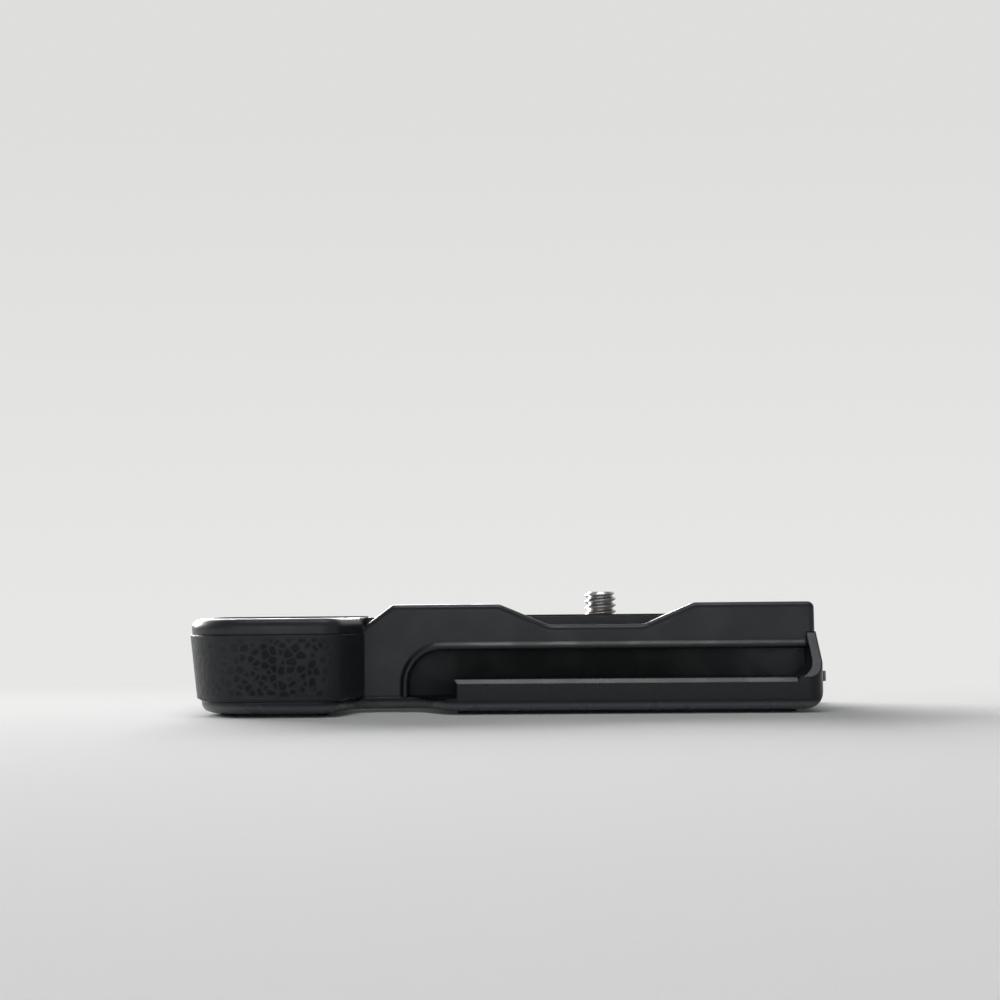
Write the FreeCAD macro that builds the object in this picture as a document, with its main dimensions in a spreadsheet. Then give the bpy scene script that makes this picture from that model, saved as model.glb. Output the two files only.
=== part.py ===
"""Camera grip plate: a hollow moulded grip on a metal base, screwed under a compact camera.

The origin is on the camera screw's axis, at the seat plane where the camera's underside rests.
+X runs to the end with the strap lug, +Y to the back of the camera, +Z up into the camera.
"""

import FreeCAD, Part
import Sketcher
import math
import os

# Driving sizes in millimetres: name, size, what it measures.
SIZES = [
    # Reach of the outside from the camera screw's axis
    ("right_end", 40.0, "end wall with the strap lug"),
    ("left_end", 78.85, "grip section's left side at deck level"),
    ("rear_face", 12.5, "back wall"),
    ("band_front", 17.0, "front band, which carries the lip"),
    ("grip_front", 30.1, "grip section's front"),
    ("camera_front", 12.0, "front face of the camera that stands on the seat"),
    # Levels, counted down from the seat unless they say otherwise
    ("body_height", 17.75, "seat to the underside of the base"),
    ("lip_height", 2.1, "lip above the seat"),
    ("groove_drop", 6.6, "seat to the top of the front groove"),
    ("rear_groove_drop", 6.0, "seat to the top of the rear groove"),
    ("rail_drop", 11.85, "seat to the top of the rails"),
    # Housing
    ("deck_thickness", 3.0, "deck under the camera"),
    ("wall", 2.0, "side walls of the housing"),
    ("band_corner", 1.2, "upright corner where the band ends at the right"),
    ("rear_corner", 5.0, "upright corners at the back"),
    ("end_round", 4.0, "right end's lower edge"),
    ("groove_depth", 2.4, "grooves in the band and in the back wall"),
    ("groove_left", 37.6, "left end of the front groove"),
    ("groove_corner", 6.5, "front groove, upper left corner"),
    ("groove_edge", 0.5, "front groove, rounding of its outer edge"),
    ("bead_proud", 0.8, "bead round the front groove, beyond the band"),
    ("bead_width", 1.5, "bead round the front groove, width"),
    ("bead_bevel", 0.75, "bead round the front groove, bevel of its outer edge"),
    ("rear_groove_half", 33.0, "half the length of the rear groove"),
    ("rear_groove_corner", 3.0, "rear groove, upper corners"),
    ("lip_bevel_width", 5.6, "bevel at the left end of the lip, width"),
    ("lip_bevel_height", 4.2, "bevel at the left end of the lip, height"),
    ("lip_edge", 1.2, "rounding of the lip's front edges"),
    ("lip_corner", 2.0, "corners where the lip's top ends"),
    ("cutout_centre", 1.5, "middle of the lens cutout, left of the axis"),
    ("cutout_top_half", 18.7, "half width of the lens cutout at the lip's top"),
    ("cutout_floor_half", 9.0, "half width of the lens cutout at its floor"),
    ("cutout_drop", 2.0, "seat to the floor of the lens cutout"),
    ("cutout_corner", 4.0, "lens cutout, rounding of its corners"),
    # Grip section
    ("flank_front", 49.6, "grip section's right flank at its front"),
    ("flank_rear", 46.3, "grip section's right flank where it meets the band"),
    ("side_lean", 1.8, "how far the left side leans in over its height"),
    ("big_corner", 12.0, "upright corner at the left front"),
    ("small_corner", 4.4, "upright corner at the flank"),
    ("top_round", 1.7, "rounding of the deck's outer edge"),
    ("skin_thickness", 1.0, "rubber skin"),
    ("skin_proud", 0.4, "skin beyond the housing above it"),
    ("skin_drop", 3.35, "seat to the upper edge of the skin"),
    ("skin_margin", 0.3, "skin above the base plate"),
    ("skin_rear", 5.0, "end of the skin on the left side, behind the axis"),
    ("skin_flank_end", 17.3, "end of the skin on the flank, ahead of the axis"),
    ("partition_left", 48.9, "wall between the two rooms, left face"),
    ("partition_right", 45.8, "wall between the two rooms, right face"),
    # Base plate
    ("base_thickness", 2.3, "base plate"),
    ("base_round", 1.9, "rounding of the base plate's lower edge"),
    ("base_nook", 2.0, "inner corner of the base plate beside the flank"),
    ("rim_inset", 0.4, "base plate inside the grip section's outside"),
    ("rail_front", 25.5, "front rail's outer face"),
    ("rail_corner", 3.0, "upright corner where the front rail ends at the right"),
    ("rail_left", 28.3, "left end of the front rail"),
    ("ramp_left", 35.0, "where the base starts to widen towards the rail"),
    ("ramp_right", 29.5, "where the base has its full width"),
    ("ramp_round", 4.5, "rounding at both ends of the ramp"),
    ("rail_bevel", 0.9, "bevel along the rails' upper outer edges"),
    ("web_thickness", 1.8, "web that closes the front groove at the right"),
    ("web_drop", 3.6, "seat to the top of the web"),
    ("web_round", 3.4, "hollow between rail and web"),
    ("rail_end_bevel", 0.6, "bevel at the front rail's left end"),
    # Pads
    ("pad_thickness", 0.8, "rubber seat pads"),
    ("pad_proud", 0.3, "seat pads above the deck"),
    ("pad_margin", 2.0, "seat pads inside the deck's edges"),
    ("pad_corner", 2.0, "corners of the pads"),
    ("felt_thickness", 0.4, "pads on the inside of the lip"),
    ("felt_margin", 1.8, "pads on the lip inside its ends"),
    ("felt_drop", 0.6, "pads on the lip below its top"),
    ("foot_thickness", 0.6, "rubber pads under the base"),
    ("foot_margin", 1.5, "rubber pads inside the base's edge"),
    ("rear_foot_left", 41.0, "left end of the rear rubber pad"),
    ("front_foot_rear", 14.0, "front rubber pad, rear edge ahead of the axis"),
    ("rear_foot_front", 7.4, "rear rubber pad, front edge behind the axis"),
    ("grip_foot_right", 52.0, "grip section's rubber pad, right edge"),
    # Camera screw and its bearings
    ("stud_radius", 3.175, "quarter-inch camera screw, outer radius"),
    ("stud_height", 4.5, "camera screw above the seat"),
    ("stud_bevel", 0.6, "bevel at the screw's tip"),
    ("shank_radius", 3.6, "smooth shank below the thread"),
    ("shoulder_radius", 6.2, "shoulder below the wave washer, radius"),
    ("shoulder_thickness", 0.6, "shoulder below the wave washer, height"),
    ("hub_radius", 4.0, "hub inside the thumb wheel"),
    ("chassis_thickness", 1.5, "steel plate under the deck"),
    ("chassis_half", 20.0, "half the length of the steel plate"),
    ("chassis_margin", 1.0, "steel plate inside the room's walls"),
    ("bush_wall", 1.0, "sleeve of the screw's bush"),
    ("bush_flange_radius", 7.0, "flange of the screw's bush"),
    ("bush_flange_thickness", 0.6, "flange of the screw's bush, height"),
    ("wave_thickness", 0.35, "wave washer"),
    ("wave_radius", 6.4, "wave washer, outer radius"),
    ("wheel_radius", 11.6, "thumb wheel over its ridges"),
    ("wheel_thickness", 4.4, "thumb wheel"),
    ("wheel_ridges", 44, "ridges round the thumb wheel"),
    ("notch_radius", 0.5, "grooves between the ridges"),
    ("wheel_bevel", 0.5, "bevel on the wheel's rims"),
    ("window_side_play", 0.7, "wheel window beyond the wheel, each side"),
    ("window_end_play", 0.4, "wheel window above and below the wheel"),
    ("window_corner", 1.5, "wheel window, corners"),
    ("clip_thickness", 0.5, "retaining ring"),
    ("clip_radius", 5.2, "retaining ring, outer radius"),
    ("clip_groove", 0.5, "retaining ring's groove, depth in the hub"),
    ("clip_gap", 2.4, "opening of the retaining ring"),
    ("clip_room_radius", 5.5, "room for the retaining ring in the wheel, radius"),
    ("clip_room_depth", 0.9, "room for the retaining ring in the wheel, depth"),
    ("drive_radius", 0.6, "pins that lock wheel and screw"),
    ("drive_circle", 5.0, "circle that the drive pins stand on, radius"),
    ("drive_length", 2.6, "pins that lock wheel and screw, length"),
    ("thrust_thickness", 0.5, "washer under the thumb wheel"),
    ("thrust_radius", 5.6, "washer under the thumb wheel, outer radius"),
    ("thrust_hole", 2.4, "washer under the thumb wheel, inner radius"),
    ("running_gap", 0.05, "radial play of the turning screw"),
    ("face_gap", 0.1, "axial play of the turning screw"),
    ("fit_gap", 0.05, "play between pieces that are fixed together"),
    # Tripod bush
    ("tripod_bore", 2.6, "tripod thread's bore radius, before threading"),
    ("tripod_depth", 5.0, "tripod thread's depth"),
    ("tripod_body", 6.0, "tripod bush where it passes the base, radius"),
    ("tripod_neck", 5.6, "tripod bush above its flange, radius"),
    ("tripod_flange_half", 12.0, "half the length of the bush's flange"),
    ("tripod_flange_depth", 6.2, "half the width of the bush's flange"),
    ("tripod_flange_thickness", 1.6, "the bush's flange, height"),
    ("tripod_screw_reach", 9.0, "bush screws from the axis"),
    # Screws, inserts and dowels
    ("screw_radius", 0.95, "small screws' shank"),
    ("head_radius", 1.9, "small screws' head"),
    ("head_height", 1.0, "small screws' head, height"),
    ("head_sunk", 0.15, "head inside the base's underside"),
    ("recess_width", 0.5, "cross recess, width of a slot"),
    ("recess_length", 2.2, "cross recess, length of a slot"),
    ("recess_depth", 0.6, "cross recess, depth"),
    ("cover_screw_length", 4.8, "cover screws' shank"),
    ("chassis_screw_length", 2.8, "chassis screws' shank"),
    ("bush_screw_length", 2.6, "tripod bush screws' shank"),
    ("lug_screw_length", 4.6, "lug screws' shank"),
    ("insert_radius", 1.75, "brass inserts, outer radius"),
    ("insert_length", 4.0, "brass inserts"),
    ("boss_radius", 3.3, "bosses round the inserts"),
    ("dowel_radius", 1.0, "locating dowels"),
    ("dowel_low", 1.5, "locating dowels, length inside the base"),
    ("dowel_high", 3.5, "locating dowels, length inside the housing"),
    ("dowel_boss", 2.4, "bosses round the dowels"),
    ("grip_rear_x", 68.0, "grip section's rear screw, left of the axis"),
    ("grip_rear_y", 5.6, "grip section's rear screw, behind the axis"),
    ("grip_front_x", 57.0, "grip section's front screw, left of the axis"),
    ("grip_front_y", 23.0, "grip section's front screw, ahead of the axis"),
    ("left_x", 41.5, "main room's left screws, left of the axis"),
    ("left_rear_y", 3.6, "main room's left rear screw, behind the axis"),
    ("left_front_y", 8.6, "main room's left front screw, ahead of the axis"),
    ("right_rear_x", 24.5, "main room's right rear screw"),
    ("right_rear_y", 4.6, "main room's right rear screw, behind the axis"),
    ("right_front_x", 33.2, "main room's right front screw"),
    ("right_front_y", 8.8, "main room's right front screw, ahead of the axis"),
    ("chassis_screw_x", 16.5, "chassis screws from the axis, along X"),
    ("chassis_screw_front", 8.8, "chassis screws ahead of the axis"),
    ("chassis_screw_rear", 4.3, "chassis screws behind the axis"),
    ("dowel_left", 29.0, "left dowel, left of the axis"),
    ("dowel_rear", 6.0, "left dowel, behind the axis"),
    ("dowel_right", 26.0, "right dowel"),
    ("dowel_front", 10.4, "right dowel, ahead of the axis"),
    # Strap lug
    ("lug_half", 3.0, "strap lug, half width and radius of its end"),
    ("lug_thickness", 2.0, "strap lug"),
    ("lug_rise", 0.7, "heads of the lug screws above the base plate"),
    ("lug_eye", 1.8, "hole for the strap's cord, radius"),
    ("lug_reach", 2.1, "hole beyond the end wall"),
    ("lug_foot", 11.4, "lug inside the end wall's outer face"),
    ("lug_screw_near", 4.8, "outer lug screw inside the end wall's outer face"),
    ("lug_screw_far", 9.2, "inner lug screw inside the end wall's outer face"),
    ("end_wall", 2.5, "end wall round the lug"),
]


class Size:
    """A number together with the spreadsheet formula that gives it."""

    def __init__(self, number, text):
        self.number = number
        self.text = text

    def combine(self, sign, other, number):
        return Size(number, f"({self.text} {sign} {size_of(other).text})")

    def __add__(self, other):
        return self.combine("+", other, self.number + size_of(other).number)

    def __sub__(self, other):
        return self.combine("-", other, self.number - size_of(other).number)

    def __mul__(self, other):
        return self.combine("*", other, self.number * size_of(other).number)

    def __truediv__(self, other):
        return self.combine("/", other, self.number / size_of(other).number)

    def __rsub__(self, other):
        return size_of(other) - self

    def __rtruediv__(self, other):
        return size_of(other) / self

    def __neg__(self):
        return Size(-self.number, f"(-{self.text})")

    def root(self):
        return Size(math.sqrt(self.number), f"sqrt({self.text})")


def size_of(thing):
    return thing if isinstance(thing, Size) else Size(float(thing), f"{thing}")


doc = FreeCAD.newDocument("grip_plate")
sheet = doc.addObject("Spreadsheet::Sheet", "sizes")
for row, (name, number, meaning) in enumerate(SIZES, start=1):
    sheet.set(f"A{row}", meaning)
    sheet.set(f"B{row}", str(number))
    sheet.setAlias(f"B{row}", name)
doc.recompute()


class Sizes:
    """Every driving size under its own name."""

    def __init__(self):
        for name, number, _ in SIZES:
            setattr(self, name, Size(float(number), f"sizes.{name}"))


s = Sizes()
NOTHING = size_of(0)
BEYOND = size_of(2)

# Levels and planes that follow from the driving sizes
deck_top = -s.pad_proud
deck_under = deck_top - s.deck_thickness
base_under = -s.body_height
base_top = base_under + s.base_thickness
groove_top = -s.groove_drop
rear_groove_top = -s.rear_groove_drop
rail_top = -s.rail_drop
groove_floor = s.band_front - s.groove_depth
rear_groove_floor = s.rear_face - s.groove_depth
room_front = groove_floor - s.wall
room_rear = rear_groove_floor - s.wall
room_right = s.right_end - s.end_wall
lip_inner = s.camera_front + s.felt_thickness
bed_depth = s.skin_thickness - s.skin_proud
skin_top = -s.skin_drop
skin_under = base_top + s.skin_margin
chassis_under = deck_under - s.chassis_thickness
bush_under = chassis_under - s.bush_flange_thickness
bush_bore = s.shank_radius + s.running_gap
bush_radius = bush_bore + s.bush_wall
wave_under = bush_under - s.wave_thickness
shoulder_top = wave_under - s.face_gap
wheel_top = shoulder_top - s.shoulder_thickness
wheel_under = wheel_top - s.wheel_thickness
clip_top = wheel_under + s.clip_room_depth
thrust_top = wheel_under - s.face_gap
tripod_top = thrust_top - s.thrust_thickness
lug_under = base_top + s.lug_rise + s.head_height
lug_top = lug_under + s.lug_thickness
head_level = base_under + s.head_sunk
seat_level = head_level + s.head_height
lug_eye_x = s.right_end + s.lug_reach
cover_points = [
    (-s.grip_rear_x, s.grip_rear_y),
    (-s.grip_front_x, -s.grip_front_y),
    (-s.left_x, s.left_rear_y),
    (-s.left_x, -s.left_front_y),
    (s.right_rear_x, s.right_rear_y),
    (s.right_front_x, -s.right_front_y),
]
chassis_points = [
    (x, y)
    for x in (-s.chassis_screw_x, s.chassis_screw_x)
    for y in (-s.chassis_screw_front, s.chassis_screw_rear)
]
dowel_points = [(-s.dowel_left, s.dowel_rear), (s.dowel_right, -s.dowel_front)]
bush_points = [(-s.tripod_screw_reach, NOTHING), (s.tripod_screw_reach, NOTHING)]
lug_points = [(s.right_end - s.lug_screw_near, NOTHING), (s.right_end - s.lug_screw_far, NOTHING)]
sub_parts = []


def new_body(label, sub_part=True):
    body = doc.addObject("PartDesign::Body", label)
    body.Label = label
    body.Placement = FreeCAD.Placement()
    if sub_part:
        sub_parts.append(body)
    return body


def new_sketch(body, name, plane, level):
    """A sketch on one of the body's origin planes, moved along the plane's normal."""
    sketch = body.newObject("Sketcher::SketchObject", f"{body.Name}_{name}_sketch")
    origin_plane = next(f for f in body.Origin.OriginFeatures if f.Role == f"{plane}_Plane")
    sketch.AttachmentSupport = [(origin_plane, "")]
    sketch.MapMode = "FlatFace"
    sketch.setExpression("AttachmentOffset.Base.z", level.text)
    return sketch


def constrain(sketch, size, *constraint):
    """Adds a constraint that follows the size."""
    index = sketch.addConstraint(Sketcher.Constraint(*constraint, size.number))
    sketch.setExpression(f"Constraints[{index}]", size.text)


def fix_point(sketch, x, y, geometry, end):
    constrain(sketch, x, "DistanceX", geometry, end)
    constrain(sketch, y, "DistanceY", geometry, end)


def draw_outline(sketch, corners):
    """A closed outline through corners (x, y), or (x, y, radius) where the corner is rounded."""
    corners = [tuple(size_of(part) for part in corner) for corner in corners]
    points = [FreeCAD.Vector(corner[0].number, corner[1].number, 0) for corner in corners]
    count = len(points)
    starts = list(points)
    ends = list(points)
    arcs = {}
    for k, corner in enumerate(corners):
        if len(corner) == 2:
            continue
        radius = corner[2].number
        back = (points[k - 1] - points[k]).normalize()
        onward = (points[(k + 1) % count] - points[k]).normalize()
        half = back.getAngle(onward) / 2
        bisector = (back + onward).normalize()
        ends[k] = points[k] + back * (radius / math.tan(half))
        starts[k] = points[k] + onward * (radius / math.tan(half))
        middle = points[k] + bisector * (radius / math.sin(half) - radius)
        arcs[k] = Part.Arc(ends[k], middle, starts[k])
    lines = []
    for k in range(count):
        lines.append(sketch.addGeometry(Part.LineSegment(starts[k], ends[(k + 1) % count])))
    for k, corner in enumerate(corners):
        before, after = lines[k - 1], lines[k]
        if k not in arcs:
            sketch.addConstraint(Sketcher.Constraint("Coincident", before, 2, after, 1))
            fix_point(sketch, corner[0], corner[1], after, 1)
            continue
        arc = sketch.addGeometry(arcs[k])
        near, far = (1, 2)
        if (sketch.getPoint(arc, 1) - ends[k]).Length > (sketch.getPoint(arc, 2) - ends[k]).Length:
            near, far = (2, 1)
        sketch.addConstraint(Sketcher.Constraint("Tangent", before, 2, arc, near))
        sketch.addConstraint(Sketcher.Constraint("Tangent", arc, far, after, 1))
        constrain(sketch, corner[2], "Radius", arc)
        tip = sketch.addGeometry(Part.Point(points[k]), True)
        fix_point(sketch, corner[0], corner[1], tip, 1)
        sketch.addConstraint(Sketcher.Constraint("PointOnObject", tip, 1, before))
        sketch.addConstraint(Sketcher.Constraint("PointOnObject", tip, 1, after))


def draw_circles(sketch, centres, radius):
    for x, y in centres:
        x, y = size_of(x), size_of(y)
        circle = Part.Circle(FreeCAD.Vector(x.number, y.number, 0), FreeCAD.Vector(0, 0, 1), radius.number)
        geometry = sketch.addGeometry(circle)
        fix_point(sketch, x, y, geometry, 3)
        constrain(sketch, radius, "Radius", geometry)


def box_corners(left, right, low, high, *radii):
    """A rectangle's corners, from the lower left one round, with optional radii."""
    corners = [(left, low), (right, low), (right, high), (left, high)]
    return [c + (r,) if r else c for c, r in zip(corners, radii + (None,) * (4 - len(radii)))]


def extrude(kind, body, name, plane, start, end, outlines=(), circles=(), radius=None):
    """A pad or pocket between two levels along the plane's axis."""
    flip = -1 if plane == "XZ" else 1
    level = start * flip
    sketch = new_sketch(body, name, plane, level)
    for corners in outlines:
        draw_outline(sketch, corners)
    if circles:
        draw_circles(sketch, circles, radius)
    feature = body.newObject(f"PartDesign::{kind}", f"{body.Name}_{name}")
    feature.Profile = sketch
    feature.Type = 0
    length = (end - start) * flip
    forward = length.number > 0
    feature.setExpression("Length", (length if forward else -length).text)
    feature.Reversed = not forward if kind == "Pad" else forward
    sketch.Visibility = False
    doc.recompute()
    return feature


def pad(body, name, plane, start, end, *outlines, circles=(), radius=None):
    return extrude("Pad", body, name, plane, start, end, outlines, circles, radius)


def pocket(body, name, plane, start, end, *outlines, circles=(), radius=None):
    before = body.Tip.Shape.Volume
    feature = extrude("Pocket", body, name, plane, start, end, outlines, circles, radius)
    assert feature.Shape.Volume < before - 0.01, f"{feature.Name} cuts nothing"
    return feature


def nearest_edges(shape, places):
    """The names of the edges whose middles are nearest to the places."""
    names = []
    for place in places:
        target = FreeCAD.Vector(*(size_of(part).number for part in place))
        gaps = []
        for index, edge in enumerate(shape.Edges, start=1):
            half = (edge.FirstParameter + edge.LastParameter) / 2
            gaps.append(((edge.valueAt(half) - target).Length, f"Edge{index}"))
        names.append(min(gaps)[1])
    return list(dict.fromkeys(names))


def level_edges(shape, level, keep=lambda middle: True):
    """The names of the edges that lie at one level and whose middle passes the test."""
    names = []
    for index, edge in enumerate(shape.Edges, start=1):
        ends = [edge.valueAt(edge.FirstParameter), edge.valueAt(edge.LastParameter)]
        middle = edge.valueAt((edge.FirstParameter + edge.LastParameter) / 2)
        if all(abs(point.z - level.number) < 0.001 for point in ends + [middle]) and keep(middle):
            names.append(f"Edge{index}")
    return names


def dress(kind, body, name, edges, size):
    """A fillet or chamfer on the named edges of the body's last feature."""
    base = body.Tip
    feature = body.newObject(f"PartDesign::{kind}", f"{body.Name}_{name}")
    feature.Base = (base, edges)
    feature.setExpression("Radius" if kind == "Fillet" else "Size", size.text)
    doc.recompute()
    return feature


def turned(body, name, corners, angle=360):
    """A solid of revolution about Z from its half profile (radius, height)."""
    sketch = new_sketch(body, name, "XZ", NOTHING)
    draw_outline(sketch, corners)
    feature = body.newObject("PartDesign::Revolution", f"{body.Name}_{name}")
    feature.Profile = sketch
    feature.ReferenceAxis = (sketch, ["V_Axis"])
    feature.Angle = angle
    sketch.Visibility = False
    doc.recompute()
    return feature


# The grip section's left side leans, so its reach depends on the level.
def left_at(level):
    return s.left_end - s.side_lean * (deck_top - level) / (deck_top - base_top)


# A corner on the flank's slanting line, at a distance ahead of the axis.
def flank_at(ahead, offset=NOTHING):
    slope = (s.flank_front - s.flank_rear) / (s.grip_front - s.band_front)
    return (-(s.flank_rear + slope * (ahead - s.band_front)) + offset, -ahead)


# The grip section's outside moved out by an offset, between two levels. It ends at the rear
# level on the left side; behind the flank's end it keeps clear of the right limit.
def grip_block(label, offset, low, high, rear, flank_end, right):
    block = new_body(label, sub_part=False)
    front = s.grip_front + offset
    beyond = -s.partition_right + BEYOND
    side = [(-left_at(low) - offset, low), (beyond, low), (beyond, high), (-left_at(high) - offset, high)]
    pad(block, "body", "XZ", -front, rear, side)
    flank_x, flank_y = flank_at(flank_end, offset)
    aside = [
        flank_at(front + BEYOND, offset),
        (flank_x, flank_y),
        (-right, flank_y),
        (-right, rear + BEYOND),
        (beyond + BEYOND, rear + BEYOND),
        (beyond + BEYOND, -front - BEYOND),
    ]
    pocket(block, "flank", "XY", high + BEYOND, low - BEYOND, aside)
    middle = (low + high) / 2
    left_edge = (-left_at(middle) - offset, -front, middle)
    right_edge = (flank_at(front, offset)[0], -front, middle)
    for name, edge, radius in [
        ("big_corner", left_edge, s.big_corner),
        ("small_corner", right_edge, s.small_corner),
    ]:
        dress("Fillet", block, name, nearest_edges(block.Tip.Shape, [edge]), radius + offset)
    return block


def cut(label, base, tool, sub_part=True):
    result = doc.addObject("Part::Cut", label)
    result.Label = label
    result.Base = base
    result.Tool = tool
    result.Placement = FreeCAD.Placement()
    doc.recompute()
    if sub_part:
        sub_parts.append(result)
    return result


# Right end's lower edge, rounded along Y on the housing and the base alike
def round_end(body):
    reach = s.end_round + BEYOND / 4
    corner = [
        (s.right_end - reach, base_under),
        (s.right_end, base_under, s.end_round),
        (s.right_end, base_under + reach),
        (s.right_end + BEYOND, base_under + reach),
        (s.right_end + BEYOND, base_under - BEYOND),
        (s.right_end - reach, base_under - BEYOND),
    ]
    pocket(body, "end_round", "XZ", s.rear_face + BEYOND, -s.rail_front - BEYOND, corner)


# Housing: deck, lip, walls, grip section and bosses, open underneath
housing = new_body("housing_solid", sub_part=False)
profile = [
    (-left_at(base_top), base_top),
    (s.right_end, base_top),
    (s.right_end, deck_top),
    (-left_at(deck_top), deck_top),
]
pad(housing, "block", "XZ", -s.grip_front, s.rear_face, profile)
front_region = [
    flank_at(s.grip_front + BEYOND),
    flank_at(s.band_front),
    (s.right_end + BEYOND, -s.band_front),
    (s.right_end + BEYOND, -s.grip_front - BEYOND),
]
pocket(housing, "front", "XY", s.lip_height + BEYOND, base_under, front_region)
mid_level = (deck_top + base_top) / 2
for name, radius, place in [
    ("left_front", s.big_corner, (-left_at(mid_level), -s.grip_front, mid_level)),
    ("flank_corner", s.small_corner, (flank_at(s.grip_front)[0], -s.grip_front, mid_level)),
    ("left_rear", s.rear_corner, (-left_at(mid_level), s.rear_face, mid_level)),
    ("right_rear", s.rear_corner, (s.right_end, s.rear_face, mid_level)),
]:
    dress("Fillet", housing, name, nearest_edges(housing.Tip.Shape, [place]), radius)

dress("Fillet", housing, "top_round", level_edges(housing.Tip.Shape, deck_top), s.top_round)
lip_plan = box_corners(-s.flank_rear, s.right_end, -s.band_front, -lip_inner)
pad(housing, "lip", "XY", deck_top - s.deck_thickness, s.lip_height, lip_plan)
band_edge = (s.right_end, -s.band_front, (s.lip_height + base_top) / 2)
dress("Fillet", housing, "band_corner", nearest_edges(housing.Tip.Shape, [band_edge]), s.band_corner)

lip_bevel = [
    (-s.flank_rear, s.lip_height - s.lip_bevel_height),
    (-s.flank_rear + s.lip_bevel_width, s.lip_height),
    (-s.flank_rear + s.lip_bevel_width, s.lip_height + BEYOND),
    (-s.flank_rear, s.lip_height + BEYOND),
]
slope = (s.cutout_top_half - s.cutout_floor_half) / (s.lip_height + s.cutout_drop)
cutout_rise = s.lip_height + BEYOND
cutout_half = s.cutout_top_half + slope * BEYOND
lens_cutout = [
    (-s.cutout_centre - cutout_half, cutout_rise),
    (-s.cutout_centre - s.cutout_floor_half, -s.cutout_drop, s.cutout_corner),
    (-s.cutout_centre + s.cutout_floor_half, -s.cutout_drop, s.cutout_corner),
    (-s.cutout_centre + cutout_half, cutout_rise),
]
pocket(housing, "lip_bevel", "XZ", -s.band_front, -lip_inner, lip_bevel)
pocket(housing, "lens_cutout", "XZ", -s.band_front - BEYOND, -lip_inner, lens_cutout)

lip_middle = -(s.band_front + lip_inner) / 2
lip_ends = nearest_edges(
    housing.Tip.Shape,
    [
        (-s.flank_rear + s.lip_bevel_width, lip_middle, s.lip_height),
        (-s.cutout_centre - s.cutout_top_half, lip_middle, s.lip_height),
        (-s.cutout_centre + s.cutout_top_half, lip_middle, s.lip_height),
    ],
)
dress("Fillet", housing, "lip_corners", lip_ends, s.lip_corner)
lip_top = level_edges(housing.Tip.Shape, s.lip_height, lambda middle: middle.y < -lip_inner.number - 0.1)
dress("Fillet", housing, "lip_edge", lip_top, s.lip_edge)

web_x = s.right_end - s.web_thickness
bead = box_corners(
    -s.groove_left - s.bead_width,
    web_x - s.fit_gap,
    base_top,
    groove_top + s.bead_width,
    None,
    None,
    None,
    s.groove_corner + s.bead_width,
)
pad(housing, "groove_bead", "XZ", -s.band_front - s.bead_proud, -s.band_front + s.groove_depth / 2, bead)
bead_front = -s.band_front - s.bead_proud
bead_middle = (web_x - s.fit_gap - s.groove_left + s.groove_corner) / 2
bead_edge = nearest_edges(housing.Tip.Shape, [(bead_middle, bead_front, groove_top + s.bead_width)])
dress("Chamfer", housing, "bead_bevel", bead_edge, s.bead_bevel)
front_groove = box_corners(-s.groove_left, web_x, base_under, groove_top, None, None, None, s.groove_corner)
pocket(housing, "front_groove", "XZ", -s.band_front - BEYOND, -groove_floor, front_groove)
groove_rim = nearest_edges(
    housing.Tip.Shape,
    [(0, bead_front, groove_top), (-s.groove_left, bead_front, (base_top + groove_top) / 2)],
)
dress("Fillet", housing, "groove_edge", groove_rim, s.groove_edge)
rear_groove = box_corners(
    -s.rear_groove_half,
    s.rear_groove_half,
    base_under,
    rear_groove_top,
    None,
    None,
    s.rear_groove_corner,
    s.rear_groove_corner,
)
pocket(housing, "rear_groove", "XZ", s.rear_face + BEYOND, rear_groove_floor, rear_groove)
round_end(housing)

inner_left = left_at(base_top) - bed_depth - s.wall
inner_front = s.grip_front - bed_depth - s.wall
grip_room = [
    (-inner_left, s.rear_face - s.wall, s.rear_corner / 2),
    (-inner_left, -inner_front, s.big_corner - s.wall - bed_depth),
    (flank_at(inner_front, -bed_depth - s.wall)[0], -inner_front, s.small_corner / 2),
    flank_at(s.band_front, -bed_depth - s.wall),
    (-s.partition_left, s.rear_face - s.wall),
]
main_room = box_corners(-s.partition_right, room_right, -room_front, room_rear)
pocket(housing, "rooms", "XY", base_under, deck_under, grip_room, main_room)
lug_block = box_corners(
    s.right_end - s.lug_foot - BEYOND / 4, room_right, -s.lug_half - BEYOND / 2, s.lug_half + BEYOND / 2
)
pad(housing, "lug_block", "XY", deck_under + BEYOND / 4, lug_top, lug_block)
boss_low = deck_under + BEYOND / 4
pad(housing, "bosses", "XY", boss_low, base_top, circles=cover_points, radius=s.boss_radius)
pad(housing, "dowel_bosses", "XY", boss_low, base_top, circles=dowel_points, radius=s.dowel_boss)
insert_top = base_top + s.insert_length
pocket(housing, "insert_holes", "XY", base_under, insert_top, circles=cover_points, radius=s.insert_radius)
dowel_top = base_top + s.dowel_high
pocket(housing, "dowel_holes", "XY", base_under, dowel_top, circles=dowel_points, radius=s.dowel_radius)

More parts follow.
